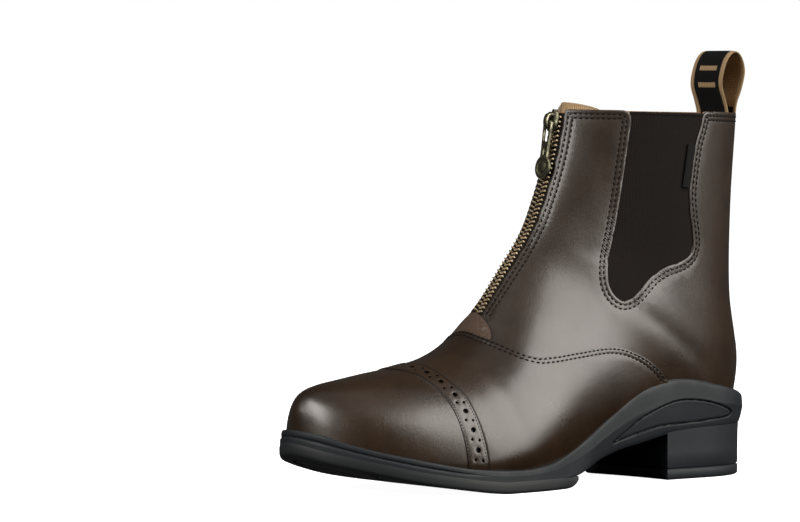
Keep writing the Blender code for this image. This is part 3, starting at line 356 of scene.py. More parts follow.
    def lifted(self, places: Array, lift: Array | float) -> Array:
        """Points at a height over the surface."""
        row, turn = places[:, 0], places[:, 1]
        lift = np.broadcast_to(lift, row.shape)[:, None]
        return self.points(row, turn) + self.outward(row, turn) * lift

    def moved(self, places: Array, ways: Array) -> Array:
        """Places moved along the surface by vectors in space."""
        along, around = self.slopes(places[:, 0], places[:, 1])
        a, b, c = (along * along).sum(1), (along * around).sum(1), (around * around).sum(1)
        p, q = (along * ways).sum(1), (around * ways).sum(1)
        scale = np.maximum(a * c - b * b, 1e-9)
        step = np.stack([(p * c - q * b) / scale, (q * a - p * b) / scale], axis=1)
        return places + step

    def sideways(self, run: Array, offset: float, closed: bool = False) -> Array:
        """A run of places moved to its left, seen from outside, by a distance."""
        points = self.points(run[:, 0], run[:, 1])
        if closed:
            tangent = np.roll(points, -1, 0) - np.roll(points, 1, 0)
        else:
            tangent = np.gradient(points, axis=0)
        way = np.cross(self.outward(run[:, 0], run[:, 1]), unit(tangent))
        return self.moved(run, unit(way) * offset)

    def resampled(self, run: Array, pitch: float, closed: bool = False) -> Array:
        """A run of places at even steps along the surface, near a pitch.

        Args:
            run: The places.
            pitch: The step that is aimed at.
            closed: Whether the run comes back to its start, which isn't repeated.

        Returns:
            The new places.
        """
        line = np.vstack([run, run[:1]]) if closed else run
        points = self.points(line[:, 0], line[:, 1])
        length = np.concatenate([[0.0], np.cumsum(np.linalg.norm(np.diff(points, axis=0), axis=1))])
        count = max(int(round(length[-1] / pitch)), 2)
        at = np.linspace(0.0, length[-1], count + 1)
        if closed:
            at = at[:-1]
        return np.stack([np.interp(at, length, line[:, n]) for n in (0, 1)], axis=1)

    def foot_turn(self, row: Array, side: Side, height: Heights) -> Array:
        """How far round a section comes down to a height that depends on y; 1 if it stays above."""

        def below(turn: Array) -> Array:
            points = self.points(row, side.value * turn)
            return points[:, 2] < height(points[:, 1])

        row = np.asarray(row, float)
        ones = np.ones_like(row)
        return np.where(below(ones), bisect(0.3 * ones, ones, below), 1.0)

    def foot_run(self, side: Side, height: Heights, start: float, end: float, steps: int) -> Array:
        """The run where the surface comes down to a height, from one row to another."""
        share = np.sin(np.pi / 2 * np.linspace(0.0, 1.0, steps))
        rows = start + (end - start) * share
        return np.stack([rows, side.value * self.foot_turn(rows, side, height)], axis=1)

    def back_row(self, height: Heights) -> float:
        """The row whose back comes down to a height."""
        ones = np.ones(1)

        def above(row: Array) -> Array:
            points = self.points(row, 1.0)
            return points[:, 2] > height(points[:, 1])

        return float(bisect(11.0 * ones, self.collar * ones, above)[0])

    def side_places(self, y: Array, z: Array, side: Side) -> Array:
        """Places on a side of the boot that are seen there in side view."""
        y, z = np.asarray(y, float), np.asarray(z, float)
        ones = np.ones_like(y)

        def turn_of(row: Array) -> Array:
            return bisect(
                0.02 * ones, 0.98 * ones, lambda turn: self.points(row, side.value * turn)[:, 2] < z
            )

        def beyond(row: Array) -> Array:
            return self.points(row, side.value * turn_of(row))[:, 1] > y

        row = bisect(4.0 * ones, self.collar * ones, beyond)
        return np.stack([row, side.value * turn_of(row)], axis=1)

    def collar_turn(self, y: float, side: Side) -> float:
        """Turn at which the collar passes a place along the boot."""
        ones = np.ones(1)

        def beyond(turn: Array) -> Array:
            return self.points(self.collar * ones, side.value * turn)[:, 1] > y

        return side.value * float(bisect(0.0 * ones, ones, beyond)[0])

    def beside(self, row: Array, x: float, offset: float) -> Array:
        """Places at a distance across from a line x along the front of the boot."""
        sign = 1.0 if offset >= 0 else -1.0
        row = np.asarray(row, float)
        ones = np.ones_like(row)
        turn = bisect(
            0.0 * ones, 0.4 * ones,
            lambda turn: sign * (self.points(row, sign * turn)[:, 0] - x) > abs(offset),
        )
        return np.stack([row, sign * turn], axis=1)

    def back_places(self, z: Array, offset: Array) -> Array:
        """Places on the back of the boot, at heights and distances from its middle line."""
        z, offset = np.broadcast_arrays(np.asarray(z, float), np.asarray(offset, float))
        sign = np.where(offset >= 0, 1.0, -1.0)
        reach = np.maximum(np.abs(offset), 0.01)
        ones = np.ones_like(reach)

        def turn_of(row: Array) -> Array:
            middle = self.points(row, ones)[:, 0]
            return bisect(
                0.5 * ones, ones, lambda turn: np.abs(self.points(row, sign * turn)[:, 0] - middle) < reach,
            )

        row = bisect(
            11.0 * ones, self.collar * ones, lambda row: self.points(row, sign * turn_of(row))[:, 2] > z
        )
        return np.stack([row, sign * turn_of(row)], axis=1)

    def disc(self, place: Sequence[float], radius: float, count: int) -> Array:
        """A round of places about a centre."""
        here = np.tile(np.asarray(place, float), (count, 1))
        along, _ = self.slopes(here[:, 0], here[:, 1])
        out = self.outward(here[:, 0], here[:, 1])
        ahead = unit(along)
        across = np.cross(out, ahead)
        angle = 2 * np.pi * np.arange(count)[:, None] / count
        return self.moved(here, radius * (np.cos(angle) * ahead + np.sin(angle) * across))


def joined(parts: Sequence[tuple[Array, float]], last: Last, closed: bool = True) -> Array:
    """Joins runs end to end into one outline, with rounded corners.

    Args:
        parts: Runs, each with the radius of the corner at its end.
        last: The surface that they lie on.
        closed: Whether the last run meets the first.

    Returns:
        The outline, whose first place isn't repeated.
    """
    trimmed = []
    count = len(parts)
    for n, (run, radius) in enumerate(parts):
        points = last.points(run[:, 0], run[:, 1])
        length = np.concatenate([[0.0], np.cumsum(np.linalg.norm(np.diff(points, axis=0), axis=1))])
        start = parts[n - 1][1] if closed or n else 0.0
        end = length[-1] - radius
        inner = run[(length > start + 0.05) & (length < end - 0.05)]
        ends = [np.array([np.interp(at, length, run[:, c]) for c in (0, 1)]) for at in (start, end)]
        trimmed.append(np.vstack([ends[0], inner, ends[1]]))
    outline = []
    for n, (run, radius) in enumerate(parts):
        outline.append(trimmed[n] if radius > 0 else trimmed[n][:-1])
        if radius > 0:
            a, corner, b = trimmed[n][-1], run[-1], trimmed[(n + 1) % count][0]
            s = np.linspace(0.0, 1.0, 7)[1:-1, None]
            outline.append(a * (1 - s) ** 2 + 2 * corner * s * (1 - s) + b * s * s)
    return np.vstack(outline)


def inside(points: Array, outline: Array) -> Array:
    """Which points in the plane are inside an outline."""
    result = np.zeros(len(points), bool)
    x, y = points[:, 0], points[:, 1]
    for (x0, y0), (x1, y1) in zip(outline, np.roll(outline, -1, 0)):
        if y0 != y1:
            crosses = (y0 > y) != (y1 > y)
            result ^= crosses & (x < (x1 - x0) * (y - y0) / (y1 - y0) + x0)
    return result


def filled(outlines: Sequence[Array], extra: Array, scale: Array) -> tuple[Array, Array]:
    """Fills an outline with triangles that keep to it.

    Args:
        outlines: The outer outline, then any holes.
        extra: Further points, those outside the region being left out.
        scale: Rough size of a unit of each coordinate.

    Returns:
        All the points, and the triangles between them.
    """
    flat = [line * scale for line in outlines]
    kept = inside(extra * scale, flat[0])
    for hole in flat[1:]:
        kept &= ~inside(extra * scale, hole)
    points = np.vstack([*flat, extra[kept] * scale])
    edges, start = [], 0
    for line in flat:
        count = len(line)
        edges += [(start + n, start + (n + 1) % count) for n in range(count)]
        start += count
    made = geometry.delaunay_2d_cdt([Vector(p) for p in points], edges, [], 0, 1e-6, False)
    points = np.array([tuple(p) for p in made[0]])
    faces = np.array([face for face in made[2] if len(face) == 3])
    middles = points[faces].mean(axis=1)
    kept = inside(middles, flat[0])
    for hole in flat[1:]:
        kept &= ~inside(middles, hole)
    return points / scale, faces[kept]


def mesh_object(name: str, points: Array, faces: Sequence, uv: Array | None = None) -> bpy.types.Object:
    """Makes an object from points in millimetres.

    Args:
        name: The piece's name.
        points: Its points.
        faces: Its faces, as tuples of point numbers.
        uv: A pair for each point, in millimetres, for materials that follow the piece.

    Returns:
        The object, shaded smooth, with its place in its mesh.
    """
    mesh = bpy.data.meshes.new(name)
    placed = (np.asarray(points, float) - (0.0, ORIGIN_Y, 0.0)) * MM
    mesh.from_pydata([tuple(p) for p in placed], [], [tuple(int(n) for n in face) for face in faces])
    if uv is not None:
        layer = mesh.uv_layers.new(name="UVMap")
        corners = np.zeros(len(mesh.loops), np.int32)
        mesh.loops.foreach_get("vertex_index", corners)
        layer.data.foreach_set("uv", (np.asarray(uv)[corners] * MM).astype(np.float32).ravel())
    mesh.validate()
    mesh.shade_smooth()
    made = bpy.data.objects.new(name, mesh)
    bpy.context.scene.collection.objects.link(made)
    return made


def outward_faces(piece: bpy.types.Object) -> None:
    """Merges a mesh's doubles and turns its faces outwards."""
    shape = bmesh.new()
    shape.from_mesh(piece.data)
    bmesh.ops.remove_doubles(shape, verts=shape.verts, dist=1e-6)
    bmesh.ops.recalc_face_normals(shape, faces=shape.faces)
    shape.to_mesh(piece.data)
    shape.free()


def sharpened(piece: bpy.types.Object, degrees: float) -> bpy.types.Object:
    """Keeps the mesh's edges crisp where it bends by more than an angle."""
    piece.data.set_sharp_from_angle(angle=math.radians(degrees))
    return piece


def point_value(piece: bpy.types.Object, name: str, values: Array) -> None:
    """Stores a number on each point of a mesh."""
    attribute = piece.data.attributes.new(name, "FLOAT", "POINT")
    attribute.data.foreach_set("value", np.asarray(values, np.float32))


def applied(piece: bpy.types.Object) -> bpy.types.Object:
    """Turns a piece with modifiers into a plain mesh of the same name."""
    depsgraph = bpy.context.evaluated_depsgraph_get()
    mesh = bpy.data.meshes.new_from_object(piece.evaluated_get(depsgraph))
    name = piece.name
    bpy.data.objects.remove(piece)
    made = bpy.data.objects.new(name, mesh)
    bpy.context.scene.collection.objects.link(made)
    return made


def grid_faces(lines: int, columns: int, first: int = 0, closed: bool = False) -> list[tuple]:
    """Quads over lines of points, the lines closed on themselves if asked."""
    faces = []
    for i in range(lines - 1):
        for j in range(columns if closed else columns - 1):
            a, b = first + i * columns + j, first + i * columns + (j + 1) % columns
            faces.append((a, b, b + columns, a + columns))
    return faces


def closed_sheet(name: str, face: Array, back: Array, uv: Array | None = None) -> bpy.types.Object:
    """A sheet with a wall round it, between two grids of points.

    Args:
        name: The piece's name.
        face: Points of its visible side, by line and column.
        back: Points of its other side.
        uv: A pair for each place of the grid.

    Returns:
        The piece, with its faces outwards.
    """
    lines, columns = face.shape[:2]
    size = lines * columns
    faces = grid_faces(lines, columns) + grid_faces(lines, columns, size)
    rim = [(j, j + 1) for j in range(columns - 1)]
    rim += [(size - columns + j, size - columns + j + 1) for j in range(columns - 1)]
    rim += [(i * columns, (i + 1) * columns) for i in range(lines - 1)]
    rim += [((i + 1) * columns - 1, (i + 2) * columns - 1) for i in range(lines - 1)]
    faces += [(a, b, size + b, size + a) for a, b in rim]
    points = np.vstack([face.reshape(-1, 3), back.reshape(-1, 3)])
    pairs = None if uv is None else np.vstack([uv.reshape(-1, 2)] * 2)
    made = mesh_object(name, points, faces, pairs)
    outward_faces(made)
    return made


@dataclass(frozen=True)
class Crease:
    """A soft trough or ridge in the leather, given one by one.

    Attributes:
        path: Places that it runs through.
        depth: How deep it is at its middle; a ridge is negative.
        width: Half its width.
    """

    path: Table
    depth: float
    width: float


@dataclass
class Relief:
    """The creases of the leather, as a height at any place."""

    last: Last
    creases: tuple[Crease, ...]

    def __call__(self, places: Array) -> Array:
        """Heights that the creases add at places."""
        points = self.last.points(places[:, 0], places[:, 1])
        total = np.zeros(len(places))
        for crease in self.creases:
            run = spline(crease.path, 12)
            line = self.last.points(run[:, 0], run[:, 1])
            fade = np.sin(np.pi * np.linspace(0.0, 1.0, len(line))) ** 0.7
            near = np.abs(points - line.mean(0)).max(1) < np.ptp(line, axis=0).max() + 3 * crease.width
            if not near.any():
                continue
            gaps = np.linalg.norm(points[near][:, None] - line[None], axis=2)
            closest = gaps.argmin(1)
            gap = gaps[np.arange(len(closest)), closest]
            total[near] -= crease.depth * fade[closest] * np.exp(-((gap / crease.width) ** 2))
        return total


@dataclass
class Panel:
    """A piece cut to an outline on the last.

    Attributes:
        name: The piece's name.
        outline: Its closed outline.
        face: Height of its visible side over the last.
        back: Height of its other side.
        holes: Outlines of its holes.
        seams: Runs of its stitches, which sink it a little.
        relief: The creases that it takes part in.
        spacing: Rough size of its triangles.
        roll: How far its edges fall, and over what width.
        seam_depth: How deep its stitches sink it.
        hole_fall: How far the edges of its holes fall.
        tip_row: Row at the toe up to which its two sides meet.
        ring_steps: Distances from its outline of rings of finer points.
        side_map: Whether its UV map is the side view, instead of the way round and along the last.
        scale: Rough size in millimetres of a unit of row and of turn.
    """

    name: str
    last: Last
    outline: Array
    face: float
    back: float
    holes: tuple[Array, ...] = ()
    seams: tuple[Array, ...] = ()
    relief: Relief | None = None
    spacing: float = 2.4
    roll: tuple[float, float] = (0.5, 1.1)
    seam_depth: float = 0.24
    hole_fall: float = 0.08
    tip_row: float = 0.03
    ring_steps: tuple[float, ...] = (0.3, 0.75, 1.4)
    side_map: bool = False
    scale: Array = field(default_factory=lambda: np.array([26.0, 125.0]))

    def build(self) -> bpy.types.Object:
        """Makes the mesh."""
        last = self.last
        outer = last.resampled(self.outline, self.spacing * 0.6, closed=True)
        outlines = [outer, *self.holes]
        fine = last.resampled(self.outline, 0.5, closed=True)
        # Both sides of a piece meet at the toe's own tip, where there is no edge to be seen.
        fine = fine[fine[:, 0] > self.tip_row]
        edge_tree = tree_of(last.points(fine[:, 0], fine[:, 1]))
        rings = []
        for step in self.ring_steps:
            for way in (step, -step):
                ring = last.sideways(outer, way, closed=True)
                gaps = distances(edge_tree, last.points(ring[:, 0], ring[:, 1]))
                rings.append(ring[gaps > step * 0.8])
        for hole in self.holes:
            rings += [last.sideways(hole, step, closed=True) for step in (0.3, -0.3)]
        for seam in self.seams:
            line = last.resampled(seam, 1.3)
            for way in (0.0, 0.45, -0.45, 1.05, -1.05):
                beside = last.sideways(line, way) if way else line
                gaps = distances(edge_tree, last.points(beside[:, 0], beside[:, 1]))
                rings.append(beside[gaps > 0.25])
        near = np.vstack(rings)
        extra = np.vstack([near, self._grid(outer, near)])
        places, triangles = filled(outlines, extra, self.scale)
        return self._thick(places, triangles, edge_tree)

    def _grid(self, outer: Array, near: Array) -> Array:
        """Evenly spread places that keep clear of the outline and of the rings."""
        low, high = outer.min(0), outer.max(0)
        step = self.spacing / self.scale
        rows = np.arange(low[0], high[0], step[0])
        turns = np.arange(low[1], high[1], step[1])
        row, turn = np.meshgrid(rows, turns, indexing="ij")
        turn = turn + np.where(np.arange(len(rows)) % 2, step[1] / 2, 0.0)[:, None]
        grid = np.stack([row.ravel(), turn.ravel()], axis=1)
        grid = grid[inside(grid, outer)]
        taken = tree_of(np.vstack([outer, near]) * self.scale)
        return grid[distances(taken, grid * self.scale) > 0.6 * self.spacing]

    def _thick(self, places: Array, triangles: Array, edge_tree: kdtree.KDTree) -> bpy.types.Object:
        """Gives the flat pattern its two sides and the wall between them."""
        last = self.last
        points = last.points(places[:, 0], places[:, 1])
        edge = distances(edge_tree, points)
        fall, width = self.roll
        away = 1 - np.clip(edge / width, 0.0, 1.0)
        sign = 1.0 if self.face > self.back else -1.0
        lift = np.full(len(places), self.face) - sign * fall * (1 - np.sqrt(1 - away**2))
        hole = np.full(len(places), 9.0)
        if self.holes:
            hole = distances(tree_of(np.vstack([last.points(h[:, 0], h[:, 1]) for h in self.holes])), points)
            lift -= sign * self.hole_fall * (1 - np.clip(hole / 0.3, 0.0, 1.0))
        seam = np.full(len(places), 9.0)
        if self.seams:
            runs = [last.resampled(run, 0.5) for run in self.seams]
            seam = distances(tree_of(np.vstack([last.points(r[:, 0], r[:, 1]) for r in runs])), points)
            lift -= sign * self.seam_depth * np.exp(-((seam / 0.6) ** 2))
        back = np.full(len(places), self.back)
        if self.relief:
            raised = self.relief(places)
            lift, back = lift + raised, back + raised
        size = len(places)
        counted: dict[tuple[int, int], int] = {}
        for face in triangles:
            for a, b in zip(face, np.roll(face, -1)):
                counted[(a, b)] = counted.get((a, b), 0) + 1
        rim = [(a, b) for a, b in counted if (b, a) not in counted]
        faces = [tuple(f) for f in triangles] + [tuple(f[::-1] + size) for f in triangles]
        faces += [(b, a, a + size, b + size) for a, b in rim]
        stacked = np.vstack([last.lifted(places, lift), last.lifted(places, back)])
        flat = points[:, 1:] if self.side_map else places[:, ::-1] * self.scale[::-1]
        pairs = np.vstack([flat] * 2)
        piece = mesh_object(self.name, stacked, faces, pairs)
        # The edge value darkens the leather at its cut edges and round its holes, partly their own dark
        # finish and partly painted shadow.
        point_value(piece, "edge", np.tile(np.clip(np.minimum(edge / 2.5, hole / 0.9), 0.0, 1.0), 2))
        # The seam value carries the painted shade of the stitch grooves to the leather's material.
        point_value(piece, "seam", np.tile(np.clip(seam / 1.6, 0.0, 1.0), 2))
        outward_faces(piece)
        return sharpened(piece, 50.0)


class Graph:
    """A material's node tree, in few words."""

    def __init__(self, name: str) -> None:
        """Makes the material with its Principled shader."""
        self.material = bpy.data.materials.new(name)
        self.material.use_nodes = True
        self.nodes = self.material.node_tree.nodes
        self.links = self.material.node_tree.links
        self.shader = self.nodes["Principled BSDF"]

    def add(self, kind: str, settings: dict | None = None, **inputs: object) -> bpy.types.Node:
        """Adds a node.

        Args:
            kind: The node's type, without its ShaderNode prefix.
            settings: Its properties.
            **inputs: Values or output sockets for its inputs, by name with _ for spaces.

        Returns:
            The node.
        """
        node = self.nodes.new("ShaderNode" + kind)
        for name, value in (settings or {}).items():
            setattr(node, name, value)
        for name, value in inputs.items():
            self.feed(node.inputs[name.replace("_", " ")], value)
        return node

    def feed(self, socket: bpy.types.NodeSocket, value: object) -> None:
        """Links a socket to an output, or sets its value."""
        if isinstance(value, bpy.types.NodeSocket):
            self.links.new(value, socket)
        else:
            socket.default_value = value

    def place(self) -> bpy.types.NodeSocket:
        """Object coordinates."""
        return self.add("TexCoord").outputs["Object"]

    def uv(self) -> bpy.types.NodeSocket:
        """The piece's own UV map."""
        return self.add("UVMap", {"uv_map": "UVMap"}).outputs["UV"]

    def value(self, name: str) -> bpy.types.NodeSocket:
        """A number that a piece carries on its points."""
        return self.add("Attribute", {"attribute_name": name}).outputs["Fac"]

    def noise(self, at: bpy.types.NodeSocket, scale: float, detail: float = 3.0) -> bpy.types.NodeSocket:
        """Soft noise."""
        return self.add("TexNoise", Vector=at, Scale=scale, Detail=detail).outputs["Fac"]

    def cells(self, at: bpy.types.NodeSocket, scale: float) -> bpy.types.NodeSocket:
        """Distance to the edges of random cells."""
        node = self.add("TexVoronoi", {"feature": "DISTANCE_TO_EDGE"}, Vector=at, Scale=scale)
        return node.outputs["Distance"]

    def math(self, operation: str, a: object, b: object = 0.0) -> bpy.types.NodeSocket:
        """A sum, product or other step of arithmetic."""
        node = self.add("Math", {"operation": operation})
        self.feed(node.inputs[0], a)
        self.feed(node.inputs[1], b)
        return node.outputs[0]

    def span(self, value: object, low: float, high: float, to: tuple[float, float]) -> bpy.types.NodeSocket:
        """A value taken from one range to another, held at its ends."""
        node = self.add("MapRange", Value=value, From_Min=low, From_Max=high, To_Min=to[0], To_Max=to[1])
        return node.outputs[0]

    def mix(self, share: object, a: object, b: object) -> bpy.types.NodeSocket:
        """A colour between two."""
        node = self.add("Mix", {"data_type": "RGBA"})
        self.feed(node.inputs[0], share)
        for socket, colour in ((node.inputs[6], a), (node.inputs[7], b)):
            self.feed(socket, (*colour, 1.0) if isinstance(colour, tuple) else colour)
        return node.outputs[2]

    def bump(self, height: object, depth: float, after: object = None) -> bpy.types.NodeSocket:
        """A bump of a depth in metres, over another one if given."""
        node = self.add("Bump", Height=height, Distance=depth, Strength=1.0)
        if after is not None:
            self.feed(node.inputs["Normal"], after)
        return node.outputs["Normal"]

    def finish(self, **inputs: object) -> bpy.types.Material:
        """Sets the shader's inputs, by name with _ for spaces, and returns the material."""
        for name, value in inputs.items():
            if isinstance(value, tuple) and len(value) == 3:
                value = (*value, 1.0)
            self.feed(self.shader.inputs[name.replace("_", " ")], value)
        return self.material


@dataclass(frozen=True)
class LeatherFinish:
    """Smooth brown leather with a waxed shine.

    Attributes:
        name: The material's name.
        dark: Its deep colour.
        light: Its colour where it is rubbed.
        grain: Cells of its grain to the metre.
        wrinkle: Depth of its wrinkles in metres.
        rougher: How much rougher the shaft is than the foot.
    """

    name: str = "brown_leather_waxed"
    dark: tuple[float, float, float] = (0.0120, 0.0056, 0.0022)
    light: tuple[float, float, float] = (0.0290, 0.0155, 0.0070)
    grain: float = 900.0
    wrinkle: float = 0.00006
    rougher: float = 0.12

    def material(self) -> bpy.types.Material:
        """Builds the material."""
        graph = Graph(self.name)
        at = graph.place()
        cloud = graph.noise(at, 22.0, 4.0)
        mottle = graph.noise(at, 140.0, 3.0)
        patches = graph.span(cloud, 0.35, 0.68, (0.0, 0.75))
        worn = graph.math("ADD", patches, graph.span(mottle, 0.3, 0.7, (0.0, 0.25)))
        body = graph.mix(worn, self.dark, self.light)
        # Edge colour and painted shadow: the cut edges are darkened, partly their own dark finish and partly
        # painted shadow along the overlays' edges.
        edge = graph.span(graph.value("edge"), 0.03, 0.2, (0.85, 0.0))
        body = graph.mix(edge, body, tuple(0.3 * c for c in self.dark))
        # Painted shade: the leather beside each row of stitches is darkened, as the shade in the sunk stitch
        # groove.
        seam = graph.span(graph.value("seam"), 0.1, 0.4, (0.6, 0.0))
        body = graph.mix(seam, body, tuple(0.3 * c for c in self.dark))
        pores = graph.cells(at, self.grain)
        grain = graph.span(pores, 0.0, 0.12, (0.0, 1.0))
        bump = graph.bump(graph.noise(at, 260.0, 4.0), self.wrinkle)
        bump = graph.bump(graph.noise(at, 800.0, 3.0), 0.00003, bump)
        bump = graph.bump(grain, 0.000018, bump)
        rough = graph.span(graph.noise(at, 60.0, 3.0), 0.3, 0.7, (0.26, 0.34))
        height = graph.add("SeparateXYZ", Vector=at).outputs["Z"]
        rough = graph.math("ADD", rough, graph.span(height, 0.06, 0.13, (0.0, self.rougher)))
        return graph.finish(
            Base_Color=body, Roughness=rough, Specular_IOR_Level=0.6, Coat_Weight=0.3, Coat_Roughness=0.22,
            Normal=bump,
        )


@dataclass(frozen=True)
class RubberFinish:
    """Moulded rubber, matte and blue-grey."""

    name: str = "moulded_rubber"
    colour: tuple[float, float, float] = (0.0105, 0.0130, 0.0160)
    dust: tuple[float, float, float] = (0.0175, 0.0210, 0.0245)

    def material(self) -> bpy.types.Material:
        """Builds the material."""
        graph = Graph(self.name)
        at = graph.place()
        dusty = graph.span(graph.noise(at, 45.0, 4.0), 0.35, 0.7, (0.0, 0.7))
        body = graph.mix(dusty, self.colour, self.dust)
        # Painted shade: the groove round the sunk heel panels is darkened nearly to black and its reflection
        # turned down, as the shade inside it.
        body = graph.mix(graph.value("groove"), body, tuple(0.05 * c for c in self.colour))
        bump = graph.bump(graph.noise(at, 1500.0, 2.0), 0.00003)
        rough = graph.span(graph.noise(at, 80.0), 0.3, 0.7, (0.5, 0.62))
        shine = graph.span(graph.value("groove"), 0.0, 1.0, (0.3, 0.05))
        return graph.finish(Base_Color=body, Roughness=rough, Specular_IOR_Level=shine, Normal=bump)


@dataclass(frozen=True)
class TreadFinish:
    """The tread's rubber, with rows of small scales."""

    name: str = "tread_rubber"
    colour: tuple[float, float, float] = (0.014, 0.016, 0.018)

    def material(self) -> bpy.types.Material:
        """Builds the material."""
        graph = Graph(self.name)
        at = graph.place()
        turned = graph.add("Mapping", Vector=at, Rotation=(0.0, 0.0, 0.6), Scale=(1.0, 0.6, 1.0))
        scales = graph.add(
            "TexVoronoi", {"feature": "F1"}, Vector=turned.outputs[0], Scale=420.0, Randomness=0.25
        )
        flat = graph.span(graph.value("smooth"), 0.3, 0.7, (1.0, 0.0))
        height = graph.math("MULTIPLY", scales.outputs["Distance"], flat)
        bump = graph.bump(height, 0.0007)
        return graph.finish(Base_Color=self.colour, Roughness=0.55, Specular_IOR_Level=0.4, Normal=bump)


@dataclass(frozen=True)
class WovenFinish:
    """Cloth with threads along and across its own map.

    Attributes:
        name: The material's name.
        colour: Its colour.
        second: The colour between its threads.
        pitch: Threads to the metre, across and along.
        depth: How deep the weave is, in metres.
        twill: How far the threads slant.
        rough: Its roughness.
        sheen: How much it glows at its edges.
    """

    name: str
    colour: tuple[float, float, float]
    second: tuple[float, float, float]
    pitch: tuple[float, float]
    depth: float
    twill: float = 0.0
    rough: float = 0.85
    sheen: float = 0.0

    def material(self) -> bpy.types.Material:
        """Builds the material."""
        graph = Graph(self.name)
        at = graph.add("SeparateXYZ", Vector=graph.uv())
        across, along = at.outputs[0], at.outputs[1]
        slant = graph.math("MULTIPLY", along, self.twill)
        warp_at = graph.math("MULTIPLY", graph.math("ADD", across, slant), self.pitch[0] * 2 * math.pi)
        weft_at = graph.math("MULTIPLY", along, self.pitch[1] * 2 * math.pi)
        warp = graph.span(graph.math("SINE", warp_at), -1.0, 1.0, (0.0, 1.0))
        weft = graph.span(graph.math("SINE", weft_at), -1.0, 1.0, (0.55, 1.0))
        weave = graph.math("MULTIPLY", warp, weft)
        fuzz = graph.noise(graph.place(), 900.0, 3.0)
        tone = graph.math("MULTIPLY", weave, graph.span(fuzz, 0.2, 0.8, (0.6, 1.0)))
        body = graph.mix(tone, self.second, self.colour)
        bump = graph.bump(weave, self.depth)
        bump = graph.bump(fuzz, 0.00004, bump)
        return graph.finish(
            Base_Color=body, Roughness=self.rough, Specular_IOR_Level=0.15, Sheen_Weight=self.sheen,
            Normal=bump,
        )


@dataclass(frozen=True)
class LoopFinish:
    """Pull loop webbing: black between tan selvedges outside, ribbed tan inside, with two plain bars."""

    name: str = "loop_webbing"
    black: tuple[float, float, float] = (0.0055, 0.0055, 0.006)
    tan: tuple[float, float, float] = (0.50, 0.34, 0.19)
    half_width: float = 12.5
    selvedge: float = 2.6
    # Columns: start and end of a bar along the webbing.
    bars: Table = ((30.0, 32.4), (38.6, 41.0))

    def material(self) -> bpy.types.Material:
        """Builds the material."""
        graph = Graph(self.name)
        at = graph.add("SeparateXYZ", Vector=graph.uv())
        across, along = at.outputs[0], at.outputs[1]
        centre = graph.math("ABSOLUTE", graph.math("SUBTRACT", across, self.half_width * MM))
        edge_at = (self.half_width - self.selvedge) * MM
        edge = graph.span(centre, edge_at - 0.0002, edge_at + 0.0002, (0.0, 1.0))
        bar_reach = graph.span(centre, 0.0066, 0.0070, (1.0, 0.0))
        pattern = edge
        for start, end in self.bars:
            middle, half = (start + end) / 2 * MM, (end - start) / 2 * MM
            off = graph.math("ABSOLUTE", graph.math("SUBTRACT", along, middle))
            bar = graph.span(off, half - 0.0002, half + 0.0002, (1.0, 0.0))
            pattern = graph.math("MAXIMUM", pattern, graph.math("MULTIPLY", bar, bar_reach))
        tan_share = graph.math("MAXIMUM", pattern, graph.value("inner"))
        ribs = graph.span(graph.math("SINE", graph.math("MULTIPLY", across, 5200.0)), -1.0, 1.0, (0.0, 1.0))
        picks = graph.span(graph.math("SINE", graph.math("MULTIPLY", along, 7400.0)), -1.0, 1.0, (0.4, 1.0))
        weave = graph.math("MULTIPLY", ribs, picks)
        tan = graph.mix(weave, tuple(0.45 * c for c in self.tan), self.tan)
        black = graph.mix(weave, tuple(0.5 * c for c in self.black), tuple(1.6 * c for c in self.black))
        body = graph.mix(tan_share, black, tan)
        bump = graph.bump(weave, 0.00012)
        bump = graph.bump(graph.noise(graph.place(), 1400.0, 3.0), 0.00006, bump)
        return graph.finish(Base_Color=body, Roughness=0.86, Specular_IOR_Level=0.15, Normal=bump)


@dataclass(frozen=True)
class MetalFinish:
    """Aged brass, with darker stains at random."""

    name: str
    light: tuple[float, float, float]
    dark: tuple[float, float, float]
    rough: tuple[float, float] = (0.26, 0.48)
    metal: float = 1.0

    def material(self) -> bpy.types.Material:
        """Builds the material."""
        graph = Graph(self.name)
        at = graph.place()
        stain = graph.span(graph.noise(at, 420.0, 4.0), 0.35, 0.65, (0.0, 1.0))
        body = graph.mix(stain, self.dark, self.light)
        bump = graph.bump(graph.noise(at, 2200.0, 2.0), 0.00002)
        rough = graph.span(stain, 0.0, 1.0, (self.rough[1], self.rough[0]))
        return graph.finish(Base_Color=body, Roughness=rough, Metallic=self.metal, Normal=bump)


@dataclass(frozen=True)
class ThreadFinish:
    """Waxed thread with its twist."""

    name: str = "dark_thread"
    colour: tuple[float, float, float] = (0.006, 0.0035, 0.0025)

    def material(self) -> bpy.types.Material:
        """Builds the material."""
        graph = Graph(self.name)
        twist = graph.add("TexWave", Vector=graph.place(), Scale=900.0, Distortion=1.5)
        bump = graph.bump(twist.outputs["Fac"], 0.00005)
        return graph.finish(Base_Color=self.colour, Roughness=0.75, Specular_IOR_Level=0.2, Normal=bump)


